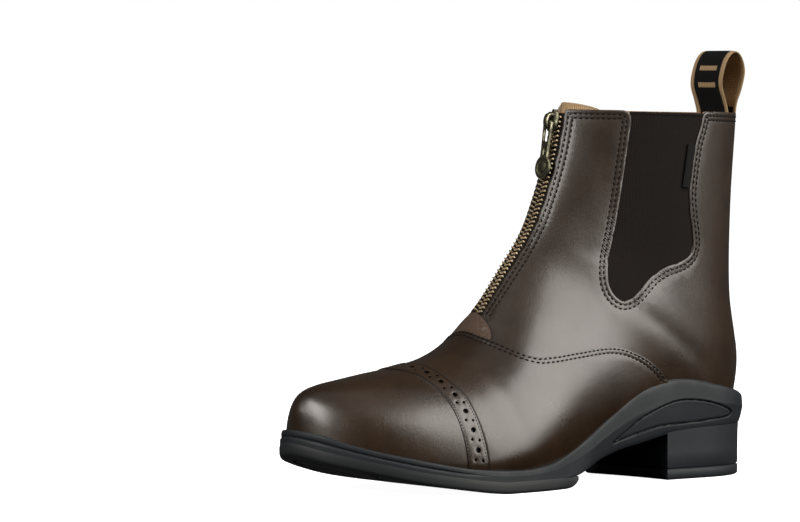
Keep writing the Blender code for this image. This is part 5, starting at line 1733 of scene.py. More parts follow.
@dataclass
class Zip:
    """Tape, teeth, slider and pull of the front zip."""

    boot: Boot
    x: float = -2.0
    tape_half: float = 4.4
    tape_face: float = -1.5
    tape_thickness: float = 0.7
    first_row: float = 8.6
    teeth_row: float = 8.9
    tooth_pitch: float = 2.43
    tooth_reach: float = 1.9
    tooth_tilt: float = 15.0
    tooth: tuple[float, float, float] = (3.2, 0.95, 1.3)
    slider_row: float = 15.62
    slider_half: tuple[float, float] = (3.8, 5.0)
    plate: float = 1.7
    hinge_height: float = 1.45
    hinge_down: float = 0.9
    reach: float = 23.0
    pull_thickness: float = 1.5
    disc_radius: float = 5.5

    def _ridge(self, rows: Array, lift: float) -> Array:
        """Points over the front edge of the boot."""
        return self.boot.last.lifted(np.stack([rows, np.zeros_like(rows)], axis=1), lift)

    def build(self) -> None:
        """Makes the four pieces of the zip."""
        self.build_tape()
        self.build_teeth()
        self.build_slider()
        self.build_pull()

    def build_tape(self) -> None:
        """The woven tape behind the teeth."""
        boot = self.boot
        rows = np.linspace(self.first_row, boot.last.collar - 0.1, 90)
        half = self.tape_half
        across = np.array([-half, -3.9, -3.4, -0.25, 0.25, 3.4, 3.9, half])
        rise = np.array([0.0, 0.0, 0.3, 0.3, 0.3, 0.3, 0.0, 0.0])
        face, back, uv = [], [], []
        for offset, extra in zip(across, rise):
            side = np.array([offset, 0.0, 0.0])
            face.append(self._ridge(rows, self.tape_face + extra) + side)
            back.append(self._ridge(rows, self.tape_face - self.tape_thickness) + side)
            uv.append(np.stack([np.full(len(rows), offset), rows * 14.0], axis=1))
        tape = closed_sheet("zip_tape_cloth", np.stack(face), np.stack(back), np.stack(uv))
        boot.place(sharpened(tape, 40.0), boot.palette.zip_cloth, Slot.ZIP_CLOTH, ("zip_tape",))

    def build_teeth(self) -> None:
        """Two interlocking rows of teeth."""
        boot, last = self.boot, self.boot.last
        rows = np.linspace(self.teeth_row, last.collar - 0.12, 400)
        line = self._ridge(rows, self.tape_face + 0.9)
        length = np.concatenate([[0.0], np.cumsum(np.linalg.norm(np.diff(line, axis=0), axis=1))])
        tilt = math.radians(self.tooth_tilt)
        points, ways, outs = [], [], []
        for sign, start in ((1.0, 0.0), (-1.0, self.tooth_pitch / 2)):
            at = np.interp(np.arange(start, length[-1], self.tooth_pitch), length, rows)
            up = unit(self._ridge(at + 0.02, 0.0) - self._ridge(at - 0.02, 0.0))
            across = np.array([sign, 0.0, 0.0])
            out = last.outward(at, np.zeros_like(at))
            out[:, 0] = 0.0
            points.append(self._ridge(at, self.tape_face + 0.95) + across * self.tooth_reach)
            ways.append(math.cos(tilt) * across + math.sin(tilt) * up)
            outs.append(unit(out))
        tree = instancing_tree("zip_teeth", False)
        at = (np.vstack(points), np.vstack(ways), np.vstack(outs))
        teeth = spread_on("zip_teeth", tree, at, self.tooth, boot.palette.teeth)
        boot.place(sharpened(teeth, 40.0), boot.palette.teeth, Slot.BRASS, ("zip_chain",))

    def slider_axes(self) -> tuple[Array, Array, Array]:
        """Centre of the slider's inner face, with its directions down and out."""
        out = self.boot.last.outward(np.array([self.slider_row]), np.zeros(1))[0]
        out[0] = 0.0
        out = unit(out)
        down = np.cross(np.array([1.0, 0.0, 0.0]), out)
        centre = self._ridge(np.array([self.slider_row]), self.tape_face + 0.15 + 1.8 + 0.3)[0]
        return centre, down, out

    def _prism(
        self, name: str, outline: Sequence, span: tuple[float, float], axes: tuple
    ) -> bpy.types.Object:
        """A bar with an outline of (first, second) measures along two directions and a span along a third."""
        centre, first, second, third = axes
        count = len(outline)
        points = [centre + first * a + second * b + third * c for c in span for a, b in outline]
        faces = [tuple(range(count)), tuple(range(count, 2 * count))]
        faces += [(n, (n + 1) % count, count + (n + 1) % count, count + n) for n in range(count)]
        piece = mesh_object(name, np.array(points), faces)
        outward_faces(piece)
        return piece

    def _cut(self, target: bpy.types.Object, other: bpy.types.Object, operation: str) -> None:
        """Joins or cuts two shapes, and removes the second."""
        modifier = target.modifiers.new(operation.lower(), "BOOLEAN")
        modifier.operation, modifier.object, modifier.solver = operation, other, "EXACT"
        bpy.context.view_layer.objects.active = target
        mesh = bpy.data.meshes.new_from_object(target.evaluated_get(bpy.context.evaluated_depsgraph_get()))
        target.modifiers.clear()
        target.data = mesh
        bpy.data.objects.remove(other)

    def _softened(self, piece: bpy.types.Object, width: float) -> bpy.types.Object:
        """Rounds a metal piece's edges."""
        bevel = piece.modifiers.new("edges", "BEVEL")
        bevel.width, bevel.segments = width * MM, 2
        bevel.limit_method, bevel.angle_limit = "ANGLE", math.radians(35.0)
        bevel.harden_normals = False
        made = applied(piece)
        made.data.shade_smooth()
        return sharpened(made, 45.0)

    def build_slider(self) -> None:
        """The slider's outer plate and the bridge that holds the pull."""
        centre, down, out = self.slider_axes()
        across = np.array([1.0, 0.0, 0.0])
        half, length = self.slider_half
        outline = []
        for step in np.linspace(-1.0, 1.0, 17):
            width = 1.0 - 0.5 * max(0.0, step) ** 2.2 - 0.16 * max(0.0, -step - 0.6) / 0.4
            outline.append((half * width, length * step))
        outline += [(-a, d) for a, d in reversed(outline)]
        axes = (centre, across, down, out)
        slider = self._prism("zip_slider_body", outline, (0.0, self.plate), axes)
        foot, top, wire, far = self.plate - 0.3, self.plate + 4.1, 1.2, 4.2
        arc = [(math.cos(a), math.sin(a)) for a in np.linspace(math.pi, 0.0, 13)]
        rise = top - foot
        bow = [(far * c, foot + rise * max(s, 0.0) ** 0.55) for c, s in arc]
        inner = far - wire
        bow += [(inner * c, foot + (rise - wire) * max(s, 0.0) ** 0.55) for c, s in reversed(arc)]
        bridge = self._prism("bridge", bow, (-1.4, 1.4), (centre, down, out, across))
        self._cut(slider, bridge, "UNION")
        slider = self._softened(slider, 0.25)
        self.boot.place(slider, self.boot.palette.brass, Slot.BRASS, ("zip_slider",))

    def pull_axes(self) -> tuple[Array, Array, Array, Array]:
        """Middle of the pull's hinge, its directions across and down along the pull, and out."""
        centre, down, out = self.slider_axes()
        hinge = centre + down * self.hinge_down + out * (self.plate + self.hinge_height)
        rest = self.tape_face + 0.15 + 1.8 + 0.3 + self.pull_thickness / 2
        ones = np.ones(1)
        row = bisect(
            12.0 * ones, self.slider_row * ones,
            lambda row: np.linalg.norm(self._ridge(row, rest) - hinge, axis=1) < self.reach + 4.0,
        )
        hang = unit(self._ridge(row, rest)[0] - hinge)
        across = np.array([1.0, 0.0, 0.0])
        return hinge, across, hang, np.cross(hang, across)

    def build_pull(self) -> None:
        """The pull: a frame through the bridge, an eye, and a round end with a plain dished ring."""
        hinge, across, hang, out = self.pull_axes()
        axes = (hinge, across, hang, out)
        half, top, radius = 3.2, -1.15, self.disc_radius
        meet = math.asin(half * 0.8 / radius)
        outline = [(half - 0.2, 4.0), (half - 0.45, 9.0), (half - 0.7, self.reach * 0.62)]
        for angle in np.linspace(meet, 2 * math.pi - meet, 33):
            outline.append((radius * math.sin(angle), self.reach - 1.08 * radius * math.cos(angle)))
        outline += [(-a, d) for a, d in outline[2::-1]]
        outline += [(-half, top + 1.0), (1.0 - half, top), (half - 1.0, top), (half, top + 1.0)]
        thick = self.pull_thickness / 2
        pull = self._prism("zip_pull_tab", outline, (-thick, thick), axes)

        def slot(start: float, end: float, wide: float) -> list:
            round_end = [math.pi * n / 8 for n in range(9)]
            low = [(wide * math.cos(a), start + wide * (1 - math.sin(a)) * 0.6) for a in round_end]
            high = [(-wide * math.cos(a), end - wide * (1 - math.sin(a)) * 0.6) for a in round_end]
            return low + high

        for start, end, wide in ((0.75, 10.0, 2.0), (12.4, 17.0, 1.05)):
            cutter = self._prism("opening", slot(start, end, wide), (-3.0, 3.0), axes)
            self._cut(pull, cutter, "DIFFERENCE")
        ring = np.linspace(0.0, 2 * math.pi, 33)[:-1]
        dish = [(4.3 * math.sin(a), self.reach + 4.6 * math.cos(a)) for a in ring]
        self._cut(pull, self._prism("dish", dish, (thick - 0.45, thick + 2.0), axes), "DIFFERENCE")
        boss = [(2.5 * math.sin(a), self.reach + 2.7 * math.cos(a)) for a in ring]
        self._cut(pull, self._prism("boss", boss, (thick - 0.6, thick - 0.1), axes), "UNION")
        pull = self._softened(pull, 0.22)
        self.boot.place(pull, self.boot.palette.brass, Slot.BRASS, ("zip_pull",), PULL_BODY)


@dataclass
class Trims:
    """The pull loop, the label and the insole."""

    boot: Boot
    half_width: float = 12.5
    thickness: float = 1.3
    centre_x: float = -2.0
    wall: float = 2.4
    inner_gap: float = 0.75
    outer_gap: float = 0.35
    # Middle of the webbing above the collar in side view, front to back. Columns: y, z.
    path: Table = (
        (134.2, 188.0), (132.2, 194.0), (129.0, 202.0), (129.6, 209.5), (132.4, 216.0), (136.8, 219.3),
        (141.2, 216.8), (143.9, 209.5), (142.6, 200.5), (140.2, 193.5), (139.4, 188.0),
    )
    # How much of the collar's roundness the webbing keeps on its way up. Columns: z, share.
    roundness: Table = ((186.0, 1.0), (196.0, 0.7), (208.0, 0.25), (220.0, 0.0))
    tag: Table = ((81.9, 150.2), (86.6, 149.8), (89.8, 171.6), (85.1, 172.0))

    def build(self) -> None:
        """Makes the three pieces."""
        self.build_loop()
        self.build_label()
        self.build_insole()

    def build_loop(self) -> None:
        """The webbing, one end inside the collar's back and the other outside it."""
        boot, last = self.boot, self.boot.last
        half = self.thickness / 2
        offsets = self.half_width * np.sin(np.linspace(-math.pi / 2, math.pi / 2, 33))

        def back_y(heights: tuple[float, ...]) -> Array:
            z, offset = np.meshgrid(heights, offsets, indexing="ij")
            places = last.back_places(z.ravel(), offset.ravel())
            return last.points(places[:, 0], places[:, 1])[:, 1].reshape(z.shape)

        inner_z, outer_z = (172.0, 177.0, 182.0), (182.5, 176.0)
        inner_y = back_y(inner_z) - self.wall - self.inner_gap - half
        outer_y = back_y(outer_z) + self.outer_gap + half
        collar_y = back_y((186.0,))[0]
        round_off = collar_y[len(offsets) // 2] - collar_y
        faces, backs, pairs = [], [], []
        for n, offset in enumerate(offsets):
            rail = list(zip(inner_y[:, n], inner_z))
            rail += [(y - round_off[n] * float(table_value(self.roundness, z)), z) for y, z in self.path]
            rail += list(zip(outer_y[:, n], outer_z))
            curve = spline(rail, 7)
            tangent = unit(np.gradient(curve, axis=0))
            normal = np.stack([-tangent[:, 1], tangent[:, 0]], axis=1)
            thin = half * (1 - 0.55 * (abs(offset) / self.half_width) ** 8)
            length = np.concatenate([[0.0], np.cumsum(np.linalg.norm(np.diff(curve, axis=0), axis=1))])
            for sheet, sign in ((faces, 1.0), (backs, -1.0)):
                edge = curve + normal * thin * sign
                sheet.append(np.column_stack([np.full(len(edge), self.centre_x + offset), edge]))
            pairs.append(np.stack([np.full(len(length), offset + self.half_width), length], axis=1))
        loop = closed_sheet("pull_loop_webbing", np.stack(faces), np.stack(backs), np.stack(pairs))
        self._mark_inner(loop)
        boot.place(sharpened(loop, 60.0), boot.palette.loop, Slot.WEBBING, ("pull_loop",))

    def _mark_inner(self, loop: bpy.types.Object) -> None:
        """Marks the points on the inner face of the webbing."""
        mesh = loop.data
        heart = Vector((0.0, 136.5 - ORIGIN_Y, 207.0)) * MM
        inner = np.zeros(len(mesh.vertices))
        for n, vertex in enumerate(mesh.vertices):
            way = heart - vertex.co
            way.x = 0.0
            above = vertex.co.z > 191.0 * MM
            inner[n] = 1.0 if above and way.dot(vertex.normal) > 0.0 else 0.0
        point_value(loop, "inner", inner)

    def build_label(self) -> None:
        """The small folded black label at the rear edge of the lateral gore, without any marks."""
        boot, last = self.boot, self.boot.last
        low_front, low_rear, high_rear, high_front = (np.array(corner) for corner in self.tag)
        up = np.linspace(0.0, 1.0, 24)
        across = np.linspace(0.0, 1.0, 10)
        face, back, uv = [], [], []
        for u in up:
            front = low_front + (high_front - low_front) * u
            rear = low_rear + (high_rear - low_rear) * u
            line = front + (rear - front) * across[:, None]
            places = last.side_places(line[:, 0], line[:, 1], Side.LATERAL)
            fall = 0.35 * (1 - np.clip(across / 0.15, 0.0, 1.0)) ** 2
            face.append(last.lifted(places, 0.55 - fall))
            back.append(last.lifted(places, -0.45 + fall))
            uv.append(np.stack([across * 5.0, np.full(10, u * 22.0)], axis=1))
        tag = closed_sheet("label_fold", np.stack(face), np.stack(back), np.stack(uv))
        boot.place(sharpened(tag, 40.0), boot.palette.label, Slot.LABEL, ("label_tag",))

    def build_insole(self) -> None:
        """The sock on the sole's floor."""
        boot, last, plan = self.boot, self.boot.last, self.boot.plan
        rows = np.linspace(1.0, 12.3, 80)
        edges = []
        for side in (Side.MEDIAL, Side.LATERAL):
            turns = last.foot_turn(rows, side, lambda y: plan.floor(y) + 2.5)
            edges.append(last.lifted(np.stack([rows, side.value * turns], axis=1), -self.wall - 0.35))
        share = np.linspace(0.0, 1.0, 25)
        grid = edges[0][None] + (edges[1] - edges[0])[None] * share[:, None, None]
        rim = 0.9 * np.abs(2 * share - 1) ** 6
        grid[:, :, 2] = plan.floor(grid[:, :, 1]) + 2.3 + rim[:, None]
        under = grid.copy()
        under[:, :, 2] -= 1.6
        uv = grid[:, :, :2]
        insole = closed_sheet("insole_sock", grid, under, uv)
        boot.place(sharpened(insole, 40.0), boot.palette.lining, Slot.LINING, ("insole",))


@dataclass
class Sole:
    """The moulded rubber unit."""

    boot: Boot
    steps: int = 460
    # Side wall of the body from the rim down. Columns: share of the wall's height, inset round the
    # toe, beside the ball and behind it.
    wall: Table = (
        (0.00, 2.9, 1.9, 1.9), (0.03, 2.0, 1.2, 1.0), (0.08, 1.4, 0.8, 0.5), (0.20, 1.1, 0.6, 0.25),
        (0.34, 1.1, 0.45, 0.1), (0.38, 1.3, 0.4, 0.05), (0.42, 1.6, 0.4, 0.0), (0.455, 1.2, 0.4, 0.05),
        (0.50, 0.7, 0.4, 0.2), (0.60, 0.45, 0.4, 0.5), (0.72, 0.4, 0.4, 0.9), (0.84, 0.4, 0.4, 1.4),
        (0.94, 0.5, 0.4, 2.0), (1.00, 0.9, 0.7, 2.8),
    )
    # Where one column of insets gives way to the next. Columns: start y, end y.
    wall_changes: Table = ((-80.0, -50.0), (2.0, 28.0))
    # Sunk panel in each side of the heel cup. Columns: y, z.
    crescent: Table = (
        (36.6, 21.8), (51.9, 31.1), (60.6, 35.0), (72.3, 39.0), (82.5, 40.9), (95.3, 40.3), (107.2, 37.9),
        (117.0, 34.6), (118.5, 32.6), (115.2, 31.2), (104.3, 30.3), (91.3, 29.3), (75.7, 28.7),
        (64.3, 27.6), (51.9, 25.0), (43.0, 22.9),
    )
    groove: tuple[float, float] = (0.9, 0.45)
    # Columns: x, y of the rear edge of the forepart's tread, medial to lateral.
    tread_end: Table = ((-40.0, -14.0), (-25.0, 2.0), (-8.0, 12.0), (8.0, 13.0), (25.0, 11.0), (42.0, 10.0))
    tread_tuck: float = 0.6
    # Levels of the tread layer. Columns: lift over the underside, inset, how far its end is drawn in.
    tread_levels: Table = (
        (0.0, 1.3, 8.6), (0.2, 0.8, 7.2), (0.7, 0.35, 5.0), (1.5, 0.15, 3.2), (2.4, 0.1, 1.8),
        (3.4, 0.1, 0.8), (4.4, 0.1, 0.2), (6.0, 0.4, 0.0),
    )
    # Heel block from the floor up. Columns: z, inset.
    heel_levels: Table = (
        (0.0, 3.9), (0.25, 3.2), (0.9, 2.65), (4.8, 2.6), (5.1, 2.8), (5.35, 3.25), (5.6, 3.4), (5.9, 3.25),
        (6.1, 2.8), (6.4, 2.6), (14.0, 2.6), (22.0, 2.5), (25.6, 2.3), (26.8, 2.3),
    )
    breast_y: tuple[float, float] = (75.0, 69.5)
    breast_hollow: float = 2.0
    channel_depth: float = 1.3
    channel_width: float = 3.4
    channels: tuple = (
        (
            *((-33.0, -107.0), (-26.4, -100.8), (-12.3, -89.2), (-2.0, -76.4)),
            *((5.7, -63.6), (13.0, -54.4), (26.2, -59.1), (38.6, -64.8)),
        ),
        (
            *((-37.4, -86.6), (-29.6, -80.3), (-18.7, -68.7), (-10.9, -55.5)),
            *((-3.3, -43.1), (3.9, -33.0), (14.6, -36.0), (24.9, -39.2), (40.0, -44.4)),
        ),
        ((19.6, -104.6), (14.6, -96.9), (5.0, -88.0), (12.4, -75.0), (23.6, -78.0), (31.4, -84.4)),
        ((-13.2, -59.4), (-27.7, -49.5)),
        ((-3.6, -41.4), (-25.7, -32.8)),
        ((2.6, -29.8), (-16.8, -14.2)),
        ((-23.4, -120.0), (-13.8, -110.0), (-5.2, -99.5)),
    )
    rim_inset: float = 7.6
    rim_width: float = 1.6
    rim_rear: Table = (
        (34.0, -9.6), (22.0, -7.2), (10.8, -10.8), (-2.0, -8.8), (-12.3, -3.6), (-20.0, -8.2),
        (-27.0, -17.0),
    )

    def build(self) -> None:
        """Makes the body, the tread with its inlays, and the heel."""
        self.build_body()
        self.build_tread()
        self.build_heel()

    def _inner_ring(self, outline: Array, share: float) -> Array:
        """Points of the hollow for the foot, each the nearest one to a point of the rim's outline.

        Args:
            outline: The rim's outline on plan.
            share: Share of the way from the floor inside up to the rim.

        Returns:
            The points of one level.
        """
        last, plan = self.boot.last, self.boot.plan
        spans = ((0.0, 2.0, 60), (2.0, 12.0, 260), (12.0, 12.9, 110))
        rows = np.concatenate([np.linspace(*span) for span in spans])

        def height(y: Array) -> Array:
            return plan.floor(y) + (plan.rim(y) - plan.floor(y)) * share

        points = []
        for side in Side:
            turns = last.foot_turn(rows, side, height)
            kept = np.append(turns[:-1] < 1.0, False) | (rows < 2.0)
            places = np.stack([rows, side.value * turns], axis=1)[kept]
            points.append(last.lifted(places, -0.2 - 0.8 * (1 - share))[:, :2])
        line = np.vstack(points)
        tree = tree_of(line)
        ring = np.array([line[tree.find((*point, 0.0))[1]] for point in outline])
        return np.column_stack([ring, height(ring[:, 1])])

    def _crescent_depth(self, y: Array, z: Array) -> Array:
        """How far the side of the heel cup is sunk at places in side view."""
        curve = spline(self.crescent, 10, closed=True)
        points = np.stack([y, z], axis=1)
        gap = distances(tree_of(curve), points)
        depth, width = self.groove
        within = inside(points, curve)
        line = depth * np.exp(-((gap / width) ** 2))
        return line + np.where(within, 0.12 * eased(gap / 1.5), 0.0)

    def _wall_inset(self, y: Array, insets: Sequence[float]) -> Array:
        """How far the side wall is drawn in at places along the sole."""
        inset = np.full_like(y, insets[0])
        for (start, end), value in zip(self.wall_changes, insets[1:]):
            inset += (value - inset) * eased((y - start) / (end - start))
        return inset

    def build_body(self) -> None:
        """The rubber round the foot, from the floor inside over the rim to the underside."""
        boot, plan = self.boot, self.boot.plan
        levels = spline(self.wall, 5)
        first = plan.loop(lambda y: self._wall_inset(y, self.wall[0][1:]), self.steps)
        rings = [self._inner_ring(first, share) for share in (0.0, 0.35, 0.7, 0.99)]
        crown = rings[-1][:, :2] * 0.45 + first * 0.55
        rings.append(np.column_stack([crown, plan.rim(crown[:, 1]) + 0.15]))
        for share, *insets in levels:
            ring = plan.loop(lambda y: self._wall_inset(y, insets), self.steps)
            y = ring[:, 1]
            z = plan.rim(y) + (plan.body_underside(y) - plan.rim(y)) * share
            sunk = self._crescent_depth(y, z)
            near = sunk > 1e-3
            if near.any():
                sides = np.sign(ring[:, 0] - plan.heel_x)
                ring[near, 0] -= (sides * sunk)[near]
            rings.append(np.column_stack([ring, z]))
        count = len(first)
        points = np.vstack(rings)
        faces = grid_faces(len(rings), count, 0, closed=True)
        bottom, base = self._cap(rings[-1], len(points), plan.body_underside, 12)
        top, lid = self._cap(rings[0], len(points) + len(bottom), None, 2)
        self._bridge(faces, base, (len(rings) - 1) * count, count)
        self._bridge(faces, lid, 0, count)
        piece = mesh_object("sole_body", np.vstack([points, bottom, top]), faces + base[1] + lid[1])
        outward_faces(piece)
        self._mark_groove_shade(piece)
        boot.place(sharpened(piece, 42.0), boot.palette.rubber, Slot.RUBBER, ("outsole",))

    def _mark_groove_shade(self, piece: bpy.types.Object) -> None:
        """Marks the points in the thin groove round the sunk panels, where the rubber gets painted shade."""
        places = np.zeros(3 * len(piece.data.vertices), np.float32)
        piece.data.vertices.foreach_get("co", places)
        places = places.reshape(-1, 3) / MM + (0.0, ORIGIN_Y, 0.0)
        gap = distances(tree_of(spline(self.crescent, 20, closed=True)), places[:, 1:])
        point_value(piece, "groove", np.clip(1.5 - gap / 0.45, 0.0, 1.0))

    def _cap(self, ring: Array, first: int, height: Heights | None, columns: int) -> tuple[Array, tuple]:
        """Points and faces that fill a loop from one side to the other.

        Args:
            ring: The loop, which starts at one end of the outline.
            first: Number of the first new point.
            height: Height of the surface from y, or none for a straight run between the sides.
            columns: Spans across.

        Returns:
            The new points, and a pair of their numbers by line with the faces between them.
        """
        half = len(ring) // 2
        points, numbers = [], []
        for n in range(1, half):
            a, b = ring[n], ring[len(ring) - n]
            share = np.arange(1, columns)[:, None] / columns
            line = a + (b - a) * share
            if height is not None:
                ridge = 0.5 * np.exp(-(((share[:, 0] - 0.5) / 0.16) ** 2)) * eased((line[:, 1] - 15.0) / 20.0)
                line[:, 2] = height(line[:, 1]) - ridge
            numbers.append([first + len(points) + k for k in range(columns - 1)])
            points += list(line)
        faces = []
        for upper, lower in zip(numbers, numbers[1:]):
            faces += [(upper[k], upper[k + 1], lower[k + 1], lower[k]) for k in range(columns - 2)]
        return np.array(points), (numbers, faces)

    def _bridge(self, faces: list[tuple], cap: tuple, start: int, count: int) -> None:
        """Joins a cap's points to the loop round it."""
        numbers, _ = cap
        half = count // 2
        for n in range(1, half - 1):
            left, right = start + n, start + count - n
            faces.append((left, left + 1, numbers[n][0], numbers[n - 1][0]))
            faces.append((right, right - 1, numbers[n][-1], numbers[n - 1][-1]))
        for tip, line, side in ((start, numbers[0], 1), (start + half, numbers[-1], -1)):
            near = start + (1 if side == 1 else half - 1)
            far = start + (count - 1 if side == 1 else half + 1)
            run = [near, *line, far]
            faces += [(tip, run[k], run[k + 1]) for k in range(len(run) - 1)]

    def _forepart(self, inset: float, drawn_in: float, steps: int) -> Array:
        """Outline of the forepart's tread, clockwise from the toe's tip."""
        plan = self.boot.plan
        sides = {}
        for side in Side:
            end = self.tread_end[-1 if side is Side.LATERAL else 0][1] - drawn_in
            share = 1 - np.cos(np.pi / 2 * np.linspace(0.0, 1.0, steps))
            y = plan.toe_y + (end - plan.toe_y) * share
            sides[side] = plan.points(y, side, inset + self.tread_tuck * eased((y - end + 14.0) / 14.0))
        low, high = sides[Side.MEDIAL][-1, 0], sides[Side.LATERAL][-1, 0]
        x = np.linspace(high, low, 42)[1:-1]
        rear = np.stack([x, table_value(self.tread_end, x) - drawn_in], axis=1)
        return np.vstack([sides[Side.LATERAL], rear, sides[Side.MEDIAL][:0:-1]])

    def _rim_line(self) -> Array:
        """Middle of the thin groove round the tread."""
        plan = self.boot.plan
        share = 1 - np.cos(np.pi / 2 * np.linspace(0.0, 1.0, 40))
        runs = {}
        for side, end in ((Side.LATERAL, -18.0), (Side.MEDIAL, -34.0)):
            runs[side] = plan.points(plan.toe_y + (end - plan.toe_y) * share, side, self.rim_inset)
        rear = spline([runs[Side.LATERAL][-1], *self.rim_rear, runs[Side.MEDIAL][-1]], 6)[1:-1]
        return np.vstack([runs[Side.LATERAL], rear, runs[Side.MEDIAL][:0:-1]])

    def _tread_sunk(self, points: Array) -> tuple[Array, Array]:
        """How far the tread is sunk at points on plan, and how smooth it is there."""
        rim = self._rim_line()
        fine = spline(rim, 4, closed=True)
        rim_gap = distances(tree_of(fine), points)
        sunk = np.clip((self.rim_width / 2 + 0.25 - rim_gap) / 0.5, 0.0, 1.0)
        lines = np.vstack([spline(line, 24 if len(line) > 2 else 60) for line in self.channels])
        gap = distances(tree_of(lines), points)
        within = inside(points, rim)
        channel = np.clip((self.channel_width / 2 + 0.25 - gap) / 0.5, 0.0, 1.0) * within
        sunk = np.maximum(sunk, channel)
        smooth = np.where(within & (rim_gap > 0.8) & (gap > self.channel_width / 2 + 0.4), 0.0, 1.0)
        return sunk * self.channel_depth, smooth

    def build_tread(self) -> None:
        """The forepart's tread with its channels, and the light inlays in them."""
        boot, plan = self.boot, self.boot.plan
        outlines = [self._forepart(inset, drawn, 80) for _, inset, drawn in self.tread_levels]
        border = outlines[0]
        lines = []
        for line in self.channels:
            curve = spline(line, 24 if len(line) > 2 else 60)
            tangent = unit(np.gradient(curve, axis=0))
            normal = np.stack([-tangent[:, 1], tangent[:, 0]], axis=1)
            for offset in (self.channel_width / 2 + 0.25, self.channel_width / 2 - 0.25):
                lines += [curve + normal * offset, curve - normal * offset]
        rim = spline(self._rim_line(), 2, closed=True)
        tangent = unit(np.roll(rim, -1, 0) - np.roll(rim, 1, 0))
        normal = np.stack([-tangent[:, 1], tangent[:, 0]], axis=1)
        for offset in (self.rim_width / 2 + 0.25, self.rim_width / 2 - 0.25):
            lines += [rim + normal * offset, rim - normal * offset]
        low, high = border.min(0), border.max(0)
        x, y = np.meshgrid(np.arange(low[0], high[0], 1.8), np.arange(low[1], high[1], 1.8))
        extra = np.vstack([*lines, np.stack([x.ravel(), y.ravel()], axis=1)])
        plane, triangles = filled([border], extra, np.ones(2))
        sunk, smooth = self._tread_sunk(plane)
        bottom = np.column_stack([plane, plan.underside(plane[:, 1]) + sunk])
        rings = [
            np.column_stack([line, plan.underside(line[:, 1]) + lift])
            for line, (lift, _, _) in zip(outlines[1:], self.tread_levels[1:])
        ]
        first, count = len(bottom), len(border)
        faces = [tuple(f) for f in triangles]
        points = np.vstack([bottom, *rings])
        order = tree_of(plane)
        ring = [order.find((*p, 0.0))[1] for p in border]
        for n in range(count):
            m = (n + 1) % count
            faces.append((ring[n], ring[m], first + m, first + n))
        faces += grid_faces(len(rings), count, first, closed=True)
        faces.append(tuple(first + (len(rings) - 1) * count + n for n in range(count)))
        piece = mesh_object("sole_tread", points, faces)
        point_value(piece, "smooth", np.concatenate([smooth, np.ones(len(points) - len(bottom))]))
        outward_faces(piece)
        boot.place(sharpened(piece, 42.0), boot.palette.tread, Slot.RUBBER)
        self._inlays()

    def _inlays(self) -> None:
        """The light strips laid in the channels."""
        boot, plan = self.boot, self.boot.plan
        points: list[Array] = []
        faces: list[tuple] = []
        half, ends = 0.85, 5.5
        for line in self.channels:
            curve = spline(line, 24 if len(line) > 2 else 60)
            length = np.concatenate([[0.0], np.cumsum(np.linalg.norm(np.diff(curve, axis=0), axis=1))])
            at = np.linspace(ends, length[-1] - ends, 60)
            curve = np.stack([np.interp(at, length, curve[:, n]) for n in (0, 1)], axis=1)
            tangent = unit(np.gradient(curve, axis=0))
            normal = np.stack([-tangent[:, 1], tangent[:, 0]], axis=1)
            base = sum(len(p) for p in points)
            # Columns: way across, height below the channel's floor.
            profile = ((-1.0, -0.2), (-1.0, 0.5), (-0.7, 0.75), (0.7, 0.75), (1.0, 0.5), (1.0, -0.2))
            for across, drop in profile:
                edge = curve + normal * across * half
                z = plan.underside(edge[:, 1]) + self.channel_depth - drop
                points.append(np.column_stack([edge, z]))
            wide = len(profile)
            for k in range(wide):
                for n in range(59):
                    a, b = base + k * 60 + n, base + (k + 1) % wide * 60 + n
                    faces.append((a, a + 1, b + 1, b))
            faces += [tuple(base + k * 60 + end for k in range(wide)) for end in (0, 59)]
        piece = mesh_object("tread_inlays", np.vstack(points), faces)
        outward_faces(piece)
        boot.place(sharpened(piece, 40.0), boot.palette.inlay, Slot.RUBBER)

    def build_heel(self) -> None:
        """The heel, with the groove over its top piece and a hollow breast."""
        boot, plan = self.boot, self.boot.plan
        rings = []
        levels = self.heel_levels
        for z, inset in levels:
            breasts = dict(zip(Side, (y + inset - 2.5 for y in self.breast_y)))
            sides = {}
            for side, breast in breasts.items():
                run = plan.heel_y - breast
                share = 1 - np.cos(np.pi / 2 * np.linspace(0.0, 1.0, 60))
                sides[side] = plan.points(plan.heel_y - run * share, side, inset)
            half_front = np.linspace(1.0, -1.0, 42)[1:-1]
            corner = np.where(half_front > 0, sides[Side.LATERAL][-1, 0], -sides[Side.MEDIAL][-1, 0])
            lateral, medial = breasts.values()
            slant = medial + (lateral - medial) * (1 + half_front) / 2
            front = np.stack([corner * half_front, slant + self.breast_hollow * (1 - half_front**2)], axis=1)
            ring = np.vstack([sides[Side.LATERAL], front, sides[Side.MEDIAL][:0:-1]])
            rings.append(np.column_stack([ring, np.full(len(ring), z)]))
        count = len(rings[0])
        points = np.vstack(rings)
        faces = grid_faces(len(rings), count, 0, closed=True)
        faces += [tuple(range(count)), tuple((len(rings) - 1) * count + n for n in range(count))]
        piece = mesh_object("sole_heel", points, faces)
        outward_faces(piece)
        boot.place(sharpened(piece, 42.0), boot.palette.rubber, Slot.RUBBER)


